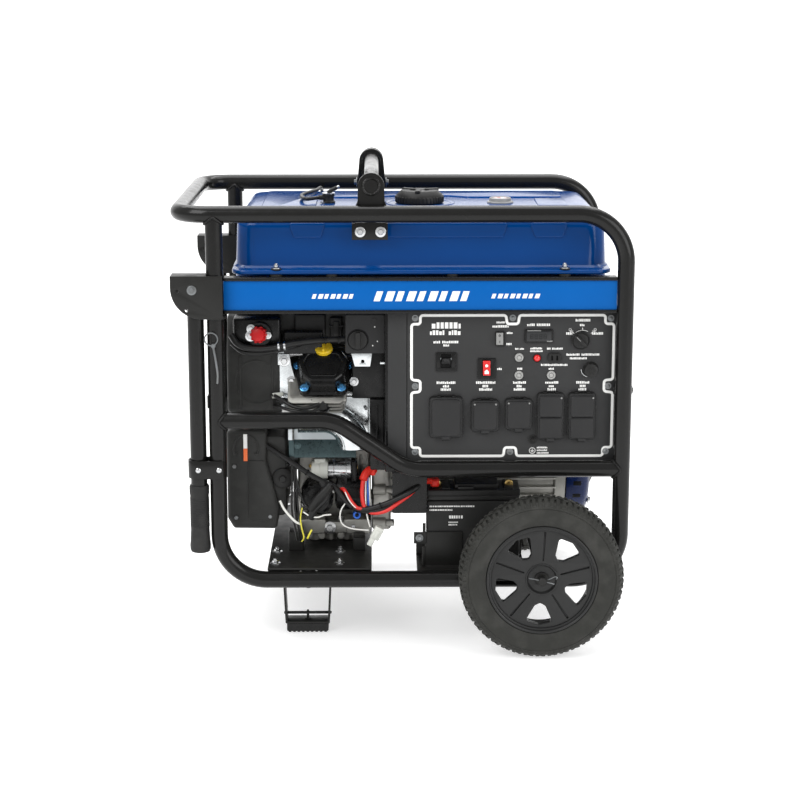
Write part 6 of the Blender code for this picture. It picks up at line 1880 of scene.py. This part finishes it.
def make_panel():
    """The front plate, its screws, its border and its lines of print."""
    shape = bmesh.new()
    path = rounded([(x, 0, z) for x, z in rectangle(PANEL_LOW.x, PANEL_HIGH.x + 0.0065, PANEL_LOW.z,
                                                    PANEL_HIGH.z)],
                   0.003, 5, closed=True)
    bores = [circle((low.x + high.x) / 2, (low.z + high.z) / 2, 0.0052, 24)[::-1]
             for low, high in (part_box(name) for name in BUTTONS)]
    slab(shape, [(p.x, p.z) for p in path], PANEL_LOW.y, PANEL_HIGH.y, "y", 0.0008, holes=bores)
    piece("panel_plate", shape, "panel", replaces=("control_panel",))
    flange = bmesh.new()
    block(flange, (PANEL_HIGH.x - 0.006, -0.2500, PANEL_LOW.z - 0.010),
          (PANEL_HIGH.x + 0.0190, -0.2440, PANEL_HIGH.z), 0.001)
    piece("panel_side_flange", flange, "bracket")
    screws = bmesh.new()
    for x, z in SCREWS:
        socket_screw(screws, (x, FACE_Y, z), OUT, 0.0078)
        lathe(screws, [(0.0, 0.0), (0.0062, 0.0), (0.0062, 0.0006), (0.0, 0.0008)], (x, FACE_Y, z), OUT, 28)
        for turn in (0, 90):
            place = Matrix.Translation((x, FACE_Y - 0.0022, z)) @ Matrix.Rotation(math.radians(turn + 20),
                                                                                  4, "Y")
            block(screws, (-0.0020, -0.0004, -0.0004), (0.0020, 0.0002, 0.0004), place=place)
    piece("panel_screws", screws, "steel")
    prints = bmesh.new()
    ribbon(prints, border_path(), 0.0050, FACE_Y, 0.0003)
    rows = [
        (0.0562, 0.1104, 0.6166, 0.6284, ()), (0.0529, 0.1131, 0.6043, 0.6131, ((0.44, 0.50),)),
        (0.0594, 0.1071, 0.5884, 0.5931, ((0.26, 0.31),)),
        (0.0778, 0.0887, 0.5824, 0.5862, ()), (0.1777, 0.1940, 0.6262, 0.6298, ()),
        (0.1701, 0.2005, 0.6183, 0.6229, ()), (0.1972, 0.2081, 0.6060, 0.6098, ()),
        (0.1967, 0.2081, 0.5846, 0.5887, ()), (0.2352, 0.2787, 0.6210, 0.6257, ((0.34, 0.38),)),
        (0.3262, 0.3553, 0.6295, 0.6344, ()),
        (0.3346, 0.3439, 0.6205, 0.6248, ()), (0.3091, 0.3205, 0.6043, 0.6090, ()),
        (0.3580, 0.3787, 0.6043, 0.6090, ()),
        (0.2133, 0.2304, 0.5758, 0.5793, ((0.32, 0.42),)), (0.2420, 0.2638, 0.5763, 0.5802, ()),
        (0.2415, 0.2651, 0.5714, 0.5744, ()),
        (0.2733, 0.3031, 0.5758, 0.5796, ((0.24, 0.30),)), (0.1799, 0.1902, 0.5369, 0.5411, ()),
        (0.2179, 0.2282, 0.5372, 0.5411, ()),
        (0.2771, 0.2868, 0.5372, 0.5411, ()), (0.3102, 0.3721, 0.5642, 0.5683, ((0.38, 0.42),)),
        (0.3167, 0.3493, 0.5571, 0.5609, ()),
        (0.2624, 0.3135, 0.5447, 0.5485, ()), (0.2570, 0.2781, 0.3845, 0.3879, ()),
        (0.2570, 0.2765, 0.3795, 0.3826, ()), (0.2570, 0.2798, 0.3741, 0.3772, ()),
    ]
    for middle, wide, narrow, last in ((0.0833, 0.0353, 0.0114, 0.0196), (0.1584, 0.0364, 0.0119, 0.0244),
                                       (0.2225, 0.0244, 0.0109, 0.0217), (0.2833, 0.0244, 0.0109, 0.0158),
                                       (0.3420, 0.0244, 0.0109, 0.0158)):
        for width, top in ((wide, 0.5151), (narrow, 0.5082), (last, 0.5018)):
            rows.append((middle - width / 2, middle + width / 2, top - 0.0047, top, ()))
    for number, (left, right, low, high, gaps) in enumerate(rows):
        dashes(prints, left, right, low, high, FACE_Y, number, gaps)
    knob_x, knob_z = 0.3398, 0.5934
    arc = [(knob_x + 0.0195 * math.cos(math.radians(a)), FACE_Y - 0.0002,
            knob_z + 0.0195 * math.sin(math.radians(a)))
           for a in range(60, 216, 6)]
    sweep(prints, arc, 0.0006, 6)
    for angle in (40, 90, 140):
        turn = math.radians(angle)
        sweep(prints, [(knob_x + r * math.cos(turn), FACE_Y - 0.0002, knob_z + r * math.sin(turn))
                       for r in (0.0205, 0.0245)], 0.0006, 6)
    for side in (-1, 1):
        mark = [(knob_x + side * 0.0240, FACE_Y - 0.0002, knob_z + 0.0170),
                (knob_x + side * 0.0180, FACE_Y - 0.0002, knob_z + 0.0180)]
        sweep(prints, mark, 0.0006, 6)
        ring = [(knob_x + side * 0.0235 + 0.0022 * math.cos(t), FACE_Y - 0.0002,
                 knob_z + 0.0205 + 0.0022 * math.sin(t))
                for t in (2 * math.pi * i / 20 for i in range(20))]
        sweep(prints, ring, 0.0004, 6, closed=True)
    ground_x, ground_z = 0.2483, 0.3803
    ring = [(ground_x + 0.0056 * math.cos(t), FACE_Y - 0.0002, ground_z + 0.0056 * math.sin(t))
            for t in (2 * math.pi * i / 32 for i in range(32))]
    sweep(prints, ring, 0.0006, 6, closed=True)
    sweep(prints, [(ground_x, FACE_Y - 0.0002, ground_z + 0.0042), (ground_x, FACE_Y - 0.0002, ground_z)],
          0.0005, 6)
    for half, drop in ((0.0035, 0.0), (0.0023, 0.0015), (0.0011, 0.0030)):
        sweep(prints, [(ground_x - half, FACE_Y - 0.0002, ground_z - drop),
                       (ground_x + half, FACE_Y - 0.0002, ground_z - drop)], 0.0005, 6)
    piece("panel_print", prints, "white", angle=60)
    make_panel_fittings()
    make_panel_knob()
    make_buttons()
    make_switches()
    make_lids()


BUTTONS = ("reset_button_dc", "reset_button_30a", "reset_button_20a")


def make_panel_fittings():
    """The fixed fittings on the panel: meter, lamp, outlet, sensor with a painted highlight, stud and the box
    behind.
    """
    meter = bmesh.new()
    path = rounded([(x, 0, z) for x, z in rectangle(0.2309, 0.2847, 0.5887, 0.6147)], 0.0025, 4, closed=True)
    outline = [(p.x, p.z) for p in path]
    slab(meter, outline, FACE_Y - 0.0035, FACE_Y + 0.001, "y", 0.0009)
    piece("meter_bezel", meter, "satin")
    glass = bmesh.new()
    path = rounded([(x, 0, z) for x, z in rectangle(0.2347, 0.2809, 0.5923, 0.6112)], 0.0015, 4, closed=True)
    slab(glass, [(p.x, p.z) for p in path], FACE_Y - 0.0039, FACE_Y - 0.003, "y", 0.0002)
    piece("meter_window", glass, "lens")
    marks = bmesh.new()
    dashes(marks, 0.2358, 0.2619, 0.6117, 0.6139, FACE_Y - 0.0036, 90)
    dashes(marks, 0.2727, 0.2830, 0.5912, 0.5939, FACE_Y - 0.0040, 91)
    piece("meter_marks", marks, "grey")
    digits = bmesh.new()
    for i in range(4):
        left = 0.2412 + 0.0085 * i
        for low, high in ((0.5972, 0.6010), (0.6016, 0.6054)):
            slab(digits, rectangle(left, left + 0.0009, low, high), FACE_Y - 0.0041, FACE_Y - 0.0038, "y")
            slab(digits, rectangle(left + 0.0045, left + 0.0054, low, high), FACE_Y - 0.0041,
                 FACE_Y - 0.0038, "y")
        for level in (0.5969, 0.6013, 0.6057):
            slab(digits, rectangle(left + 0.0008, left + 0.0046, level, level + 0.0007), FACE_Y - 0.0041,
                 FACE_Y - 0.0038, "y")
    piece("meter_segments", digits, "dark")
    lamp = bmesh.new()
    lathe(lamp, [(0.0, 0.0068), (0.0035, 0.0062), (0.0058, 0.0042), (0.0066, 0.0015), (0.0066, 0.0),
                 (0.0, 0.0)],
          (0.2548, FACE_Y, 0.5598), OUT, 36)
    piece("oil_lamp", lamp, "red_lens")
    bezel = bmesh.new()
    lathe(bezel, [(0.0066, -0.001), (0.0082, -0.001), (0.0082, 0.0012), (0.0076, 0.0020), (0.0066, 0.0016)],
          (0.2548, FACE_Y, 0.5598), OUT, 36, closed=True)
    outlet_x, outlet_z = 0.2877, 0.5604
    path = rounded([(outlet_x + dx, 0, outlet_z + dz) for dx, dz in ((-0.0125, -0.0055), (-0.0085, -0.0090),
                   (0.0085, -0.0090), (0.0125, -0.0055), (0.0125, 0.0055), (0.0085, 0.0090),
                   (-0.0085, 0.0090),
                   (-0.0125, 0.0055))], 0.0015, 3, closed=True)
    slots = [rectangle(outlet_x + x - 0.0013, outlet_x + x + 0.0013, outlet_z - 0.0045,
                       outlet_z + 0.0045)[::-1]
             for x in (-0.0048, 0.0048)]
    slab(bezel, [(p.x, p.z) for p in path], FACE_Y - 0.0045, FACE_Y + 0.001, "y", 0.0010, holes=slots)
    sensor = (0.3561, FACE_Y, 0.5378)
    lathe(bezel, [(0.0, 0.0180), (0.0090, 0.0180), (0.0125, 0.0165), (0.0135, 0.0130), (0.0135, 0.0020),
                  (0.0150, 0.0),
                  (0.0, 0.0)], sensor, OUT, 48)
    for i in range(6):
        turn = facing(OUT, sensor) @ Matrix.Rotation(math.pi / 3 * i, 4, "Z")
        block(bezel, (0.0030, -0.0006, 0.0178), (0.0085, 0.0006, 0.0186), 0.0003, 1, turn)
    stud = (0.2488, FACE_Y, 0.4028)
    hex_bolt(bezel, stud, OUT, 0.0105)
    bar(bezel, stud, (stud[0], FACE_Y - 0.0120, stud[2]), 0.0026, 16, 0.0005)
    piece("panel_fittings", bezel, "plastic", angle=32)
    slot_backs = bmesh.new()
    block(slot_backs, (outlet_x - 0.0070, FACE_Y - 0.0012, outlet_z - 0.0060),
          (outlet_x + 0.0070, FACE_Y - 0.0005, outlet_z + 0.0060), 0.0002)
    piece("outlet_slots", slot_backs, "dark")
    # A painted highlight: a thin zinc arc round the lower left of the sensor dome, where its rim catches the
    # light. It is no real part.
    painted_glint = bmesh.new()
    arc = [(sensor[0] - 0.0175 * math.cos(math.radians(a)), FACE_Y - 0.0006,
            sensor[2] - 0.0150 * math.sin(math.radians(a)))
           for a in range(0, 71, 7)]
    sweep(painted_glint, arc, 0.0010, 8, round_ends=True)
    piece("sensor_painted_highlight", painted_glint, "zinc")
    back = bmesh.new()
    low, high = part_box("control_box")
    wall = 0.003
    block(back, (low.x, low.y, low.z), (low.x + wall, high.y, high.z), 0.0010)
    block(back, (high.x - wall, low.y, low.z), (high.x, high.y, high.z), 0.0010)
    block(back, (low.x, low.y, low.z), (high.x, high.y, low.z + wall), 0.0010)
    block(back, (low.x, low.y, high.z - wall), (high.x, high.y, high.z), 0.0010)
    block(back, (low.x, high.y - wall, low.z), (high.x, high.y, high.z), 0.0010)
    for i in range(9):
        x = low.x + 0.060 + 0.030 * i
        for z in (low.z + 0.060, low.z + 0.160):
            block(back, (x, high.y - 0.001, z), (x + 0.006, high.y + 0.0020, z + 0.060), 0.0018, 2)
    piece("panel_box", back, "bracket", replaces=("control_box",))


def make_panel_knob():
    """The engine switch knob and its pointer line."""
    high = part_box("engine_switch_knob")[1]
    x, z = 0.336, 0.594
    base = high.y
    knob = bmesh.new()
    lathe(knob, [(0.0, 0.0095), (0.0120, 0.0095), (0.0138, 0.0088), (0.0146, 0.0070), (0.0168, 0.0052),
                 (0.0170, 0.0),
                 (0.0, 0.0)], (x, base, z), OUT, 56)
    for i in range(28):
        turn = facing(OUT, (x, base, z)) @ Matrix.Rotation(2 * math.pi * i / 28, 4, "Z")
        block(knob, (0.0150, -0.0008, 0.0006), (0.0174, 0.0008, 0.0048), 0.0004, 1, turn)
    turn = Matrix.Translation((x, base - 0.013, z)) @ Matrix.Rotation(math.radians(-45), 4, "Y")
    block(knob, (-0.0036, -0.0070, -0.0130), (0.0036, 0.0070, 0.0140), 0.0016, 3, turn)
    piece("engine_knob", knob, "plastic", "switch_knob", replaces=("engine_switch_knob",))
    line = bmesh.new()
    block(line, (-0.0006, -0.0073, 0.0020), (0.0006, -0.0068, 0.0125), 0.0001, 1, turn)
    piece("engine_knob_line", line, "grey", "switch_knob")


def make_buttons():
    """Grey push-to-reset caps on light grey collars."""
    collars = bmesh.new()
    for name in BUTTONS:
        low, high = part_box(name)
        x, z = (low.x + high.x) / 2, (low.z + high.z) / 2
        body = name.replace("reset_", "")
        button = bmesh.new()
        lathe(button, [(0.0, 0.0), (0.0030, 0.0), (0.0040, -0.0008), (0.0043, -0.0020),
                       (0.0043, low.y - high.y),
                       (0.0, low.y - high.y)], (x, low.y, z), OUT, 32)
        piece(name + "_cap", button, "light_grey", body, replaces=(name,))
        lathe(collars, [(0.0047, -0.001), (0.0082, -0.001), (0.0082, 0.0020), (0.0070, 0.0036),
                        (0.0050, 0.0038),
                        (0.0047, 0.0030)], (x, FACE_Y, z), OUT, 40, closed=True)
    piece("button_collars", collars, "light_grey", angle=32)


def make_switches():
    """The main breaker, the lit breaker rocker and the fuel switch, each in its frame."""
    frames = bmesh.new()

    def bezel(left, right, low, high, hole, depth):
        """A square frame round a switch."""
        path = rounded([(x, 0, z) for x, z in rectangle(left, right, low, high)], 0.0022, 4, closed=True)
        slab(frames, [(p.x, p.z) for p in path], FACE_Y - depth, FACE_Y + 0.001, "y", 0.0008,
             holes=[rectangle(*hole)[::-1]])

    low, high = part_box("breaker_rocker")
    bezel(0.1432, 0.1777, 0.5201, 0.5593, (low.x - 0.0006, high.x + 0.0006, low.z - 0.0008,
                                           high.z + 0.0008), 0.0034)
    low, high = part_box("fuel_switch_rocker")
    bezel(0.1766, 0.1940, 0.5824, 0.6109, (low.x - 0.0006, high.x + 0.0006, low.z - 0.0008,
                                           high.z + 0.0008), 0.0034)
    low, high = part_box("main_breaker_toggle")
    x, z = (low.x + high.x) / 2, 0.555
    bezel(0.0637, 0.1039, 0.5344, 0.5708, (x - 0.0092, x + 0.0092, z - 0.0130, z + 0.0130), 0.0030)
    for side in (-1, 1):
        block(frames, (x + side * 0.0142 - 0.0035, FACE_Y - 0.0048, z - 0.0130),
              (x + side * 0.0142 + 0.0035, FACE_Y - 0.002, z + 0.0130), 0.0010)
    piece("switch_frames", frames, "satin")
    backs = bmesh.new()
    for name in ("breaker_rocker", "fuel_switch_rocker"):
        low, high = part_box(name)
        block(backs, (low.x - 0.001, FACE_Y - 0.0010, low.z - 0.001),
              (high.x + 0.001, FACE_Y - 0.0002, high.z + 0.001))
    block(backs, (x - 0.0095, FACE_Y - 0.0010, z - 0.0132), (x + 0.0095, FACE_Y - 0.0002, z + 0.0132))
    piece("switch_wells", backs, "dark")
    screws = bmesh.new()
    for side in (-1, 1):
        socket_screw(screws, (x + side * 0.0105, FACE_Y - 0.0030, z + 0.0040), OUT, 0.0050)
    piece("main_breaker_screws", screws, "steel")

    def rocker(name, node, body, finish, tilt, width, height):
        """A rocker tipped on its axle, and where it lies."""
        low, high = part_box(node)
        centre = (low + high) / 2
        turn = Matrix.Translation(centre) @ Matrix.Rotation(math.radians(-tilt), 4, "X")
        shape = bmesh.new()
        profile = [(-0.0030, -height / 2), (0.0030, -height / 2), (0.0030, height / 2), (-0.0030, height / 2),
                   (-0.0020, 0.0)]
        path = rounded([(y, h, 0) for y, h in profile], 0.0008, 3, closed=True)
        slab(shape, [(p.x, p.y) for p in path], -width / 2, width / 2, "x", 0.0005, place=turn)
        piece(name, shape, finish, body, replaces=(node,))
        return turn

    turn = rocker("breaker_switch_red", "breaker_rocker", "breaker_switch", "red_lens", 8, 0.0138, 0.0278)
    mark = bmesh.new()
    slab(mark, [(-0.0040, -0.0110), (0.0040, -0.0110), (0.0040, -0.0060), (0.0, -0.0025), (-0.0040, -0.0060)],
         -0.0034, -0.0027, "y", place=turn)
    bar(mark, (0, -0.0030, 0.0045), (0, -0.0034, 0.0045), 0.0028, 20, place=turn)
    piece("breaker_switch_mark", mark, "white", "breaker_switch")
    turn = rocker("fuel_switch_grey", "fuel_switch_rocker", "fuel_switch", "grey", 8, 0.0128, 0.0228)
    mark = bmesh.new()
    lathe(mark, [(0.0012, 0.0), (0.0020, 0.0), (0.0020, 0.0004), (0.0012, 0.0004)], (0, -0.0026, 0.0060),
          OUT, 20,
          closed=True, place=turn)
    block(mark, (-0.0004, -0.0031, -0.0080), (0.0004, -0.0024, -0.0040), place=turn)
    piece("fuel_switch_mark", mark, "dark", "fuel_switch")
    low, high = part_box("main_breaker_toggle")
    lever = bmesh.new()
    pivot_y = FACE_Y - 0.0065
    bar(lever, (low.x, pivot_y, z), (high.x, pivot_y, z), 0.0050, 28, 0.0006)
    turn = Matrix.Translation((x, pivot_y, z)) @ Matrix.Rotation(math.radians(-20), 4, "X")
    block(lever, (-0.0052, -0.0140, -0.0030), (0.0052, 0.0, 0.0030), 0.0012, 3, turn)
    for i in range(3):
        block(lever, (-0.0048, -0.0125 + 0.0030 * i, 0.0028), (0.0048, -0.0112 + 0.0030 * i, 0.0034),
              0.0002, 1, turn)
    piece("main_breaker_lever", lever, "lid", "breaker_lever", replaces=("main_breaker_toggle",))


def make_lids():
    """A sprung lid over each outlet, with its latch tab, on a hinged frame that stays on the panel."""
    frames = bmesh.new()
    for node in ("outlet_lid_50a", "outlet_lid_30a_twist", "outlet_lid_30a_single", "outlet_lid_duplex_left",
                 "outlet_lid_duplex_right"):
        low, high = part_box(node)
        back, front = high.y, low.y
        base = low.z + 0.004
        top = high.z
        wide = high.x - low.x
        x = (low.x + high.x) / 2
        shape = bmesh.new()
        corner = 0.0075 if "duplex" not in node else 0.0055

        def outline(inset, cut=0.0):
            path = rounded([(px, 0, pz) for px, pz in rectangle(low.x + inset, high.x - inset, base + inset,
                                                               top - inset - cut)], corner, 6, closed=True)
            return [(p.x, p.z) for p in path]

        slab(shape, outline(0.0), front + 0.004, back, "y", 0.0020, segments=3)
        if "duplex" in node:
            middle = (base + top) / 2 - 0.001
            for bottom, head in ((base + 0.003, middle - 0.001), (middle + 0.001, top - 0.004)):
                path = rounded([(px, 0, pz) for px, pz in rectangle(low.x + 0.003, high.x - 0.003, bottom,
                                                                    head)],
                               0.004, 5, closed=True)
                slab(shape, [(p.x, p.z) for p in path], front, front + 0.006, "y", 0.0018, segments=3)
            block(shape, (low.x + 0.004, front - 0.0004, middle - 0.0034),
                  (high.x - 0.004, front + 0.002, middle - 0.0014),
                  0.0006)
        else:
            slab(shape, outline(0.0035), front, front + 0.006, "y", 0.0018, segments=3)
        block(shape, (x - 0.008, back - 0.010, low.z), (x + 0.008, back - 0.005, base + 0.006), 0.0018)
        piece(node.replace("outlet_lid", "lid"), shape, "lid", node.replace("outlet_", ""), replaces=(node,))
        hinge_y = back - 0.004
        for side in (-1, 1):
            start = x + side * wide * 0.24
            bar(frames, (start - side * 0.004, hinge_y, top + 0.0016),
                (start + side * 0.003, hinge_y, top + 0.0016),
                0.0024, 16, 0.0004)
        block(frames, (x - wide * 0.26, FACE_Y - 0.0042, top + 0.0004),
              (x + wide * 0.26, FACE_Y + 0.0005, top + 0.0034),
              0.0010)
        path = rounded([(px, 0, pz) for px, pz in rectangle(low.x - 0.0022, high.x + 0.0022, base - 0.0022,
                                                            top + 0.0016)],
                       0.0085, 6, closed=True)
        slab(frames, [(p.x, p.z) for p in path], FACE_Y - 0.0022, FACE_Y + 0.0005, "y", 0.0008)
        block(frames, (x - 0.007, FACE_Y - 0.0026, base - 0.0070),
              (x + 0.007, FACE_Y + 0.0005, base - 0.0016), 0.0010)
        if node in ("outlet_lid_30a_twist", "outlet_lid_30a_single"):
            spots = ((low.x + 0.0055, top - 0.0065), (high.x - 0.0055, top - 0.0065))
        elif "duplex" in node:
            spots = ((high.x - 0.0050, top - 0.0075),)
        else:
            spots = ()
        for spot_x, spot_z in spots:
            heads = bmesh.new()
            bar(heads, (spot_x, front + 0.0002, spot_z), (spot_x, front - 0.0009, spot_z), 0.0018, 16, 0.0003)
            piece(f"{node.replace('outlet_lid', 'lid')}_rivet_0_{round(spot_x * 1000)}",
                  heads, "grey",
                  node.replace("outlet_", ""))
    piece("lid_frames", frames, "satin")


# --- Stage ---------------------------------------------------------------------------------------

def make_stage():
    """A pale floor that curves up behind, soft lights, and the camera before the control panel."""
    scene = bpy.context.scene
    shape = bmesh.new()
    reach = 9.0
    profile = [(-6.0, 0.0), (4.0, 0.0)]
    profile += [(4.0 + 2.0 * math.sin(math.radians(a)), 2.0 - 2.0 * math.cos(math.radians(a)))
                for a in range(10, 91, 10)]
    profile.append((6.0, 8.0))
    rows = [[shape.verts.new((x, y, z - 0.0005)) for y, z in profile] for x in (-reach, reach)]
    for i in range(len(profile) - 1):
        shape.faces.new((rows[0][i], rows[1][i], rows[1][i + 1], rows[0][i + 1]))
    mesh = bpy.data.meshes.new("floor")
    shape.to_mesh(mesh)
    shape.free()
    mesh.shade_smooth()
    mesh.materials.append(MATERIALS["floor"])
    floor = bpy.data.objects.new("floor", mesh)
    scene.collection.objects.link(floor)

    def softbox(name, place, aim, width, height, power):
        light = bpy.data.lights.new(name, "AREA")
        light.shape = "RECTANGLE"
        light.size = width
        light.size_y = height
        light.energy = power
        lamp = bpy.data.objects.new(name, light)
        lamp.location = place
        lamp.rotation_euler = (Vector(aim) - Vector(place)).to_track_quat("-Z", "Y").to_euler()
        scene.collection.objects.link(lamp)

    softbox("key_light", (-2.2, -2.4, 3.0), (0, 0, 0.4), 2.4, 2.4, 95)
    softbox("fill_light", (2.8, -2.6, 1.8), (0, 0, 0.4), 2.2, 2.6, 60)
    softbox("top_light", (0.0, 0.6, 3.4), (0, 0, 0.5), 3.2, 2.4, 85)
    softbox("floor_wash", (0.0, 2.6, 4.2), (0, 4.4, 1.0), 6.0, 2.0, 190)
    world = bpy.data.worlds.new("studio")
    world.use_nodes = True
    background = world.node_tree.nodes["Background"]
    background.inputs["Color"].default_value = (1.0, 1.0, 1.0, 1.0)
    background.inputs["Strength"].default_value = 0.62
    scene.world = world

    camera = bpy.data.cameras.new("camera")
    camera.lens = 87.75
    camera.sensor_width = 36.0
    holder = bpy.data.objects.new("camera", camera)
    holder.location = (-0.0475, -3.871, 1.271)
    holder.rotation_euler = (math.radians(90 - 12.39), 0.0, math.radians(-0.70))
    scene.collection.objects.link(holder)
    scene.camera = holder
    scene.view_settings.view_transform = "Standard"


make_frame()
make_beams()
make_lift()
make_tank()
make_handles()
make_wheels()
make_axle()
make_feet()
make_crankcase()
make_cylinder("front", -1, -0.163)
make_cylinder("rear", 1, -0.135)
make_oil_cap()
make_shrouds()
make_air_cleaner()
make_brackets()
make_heat_shield()
make_ignition()
make_starter()
make_filter()
make_alternator()
make_muffler()
make_battery()
make_regulator()
make_dial()
make_wiring()
make_cradles()
make_panel()
for node, finish in MATERIALS_FOR_CAD.items():
    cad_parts[node].data.materials.clear()
    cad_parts[node].data.materials.append(MATERIALS[finish])
make_stage()
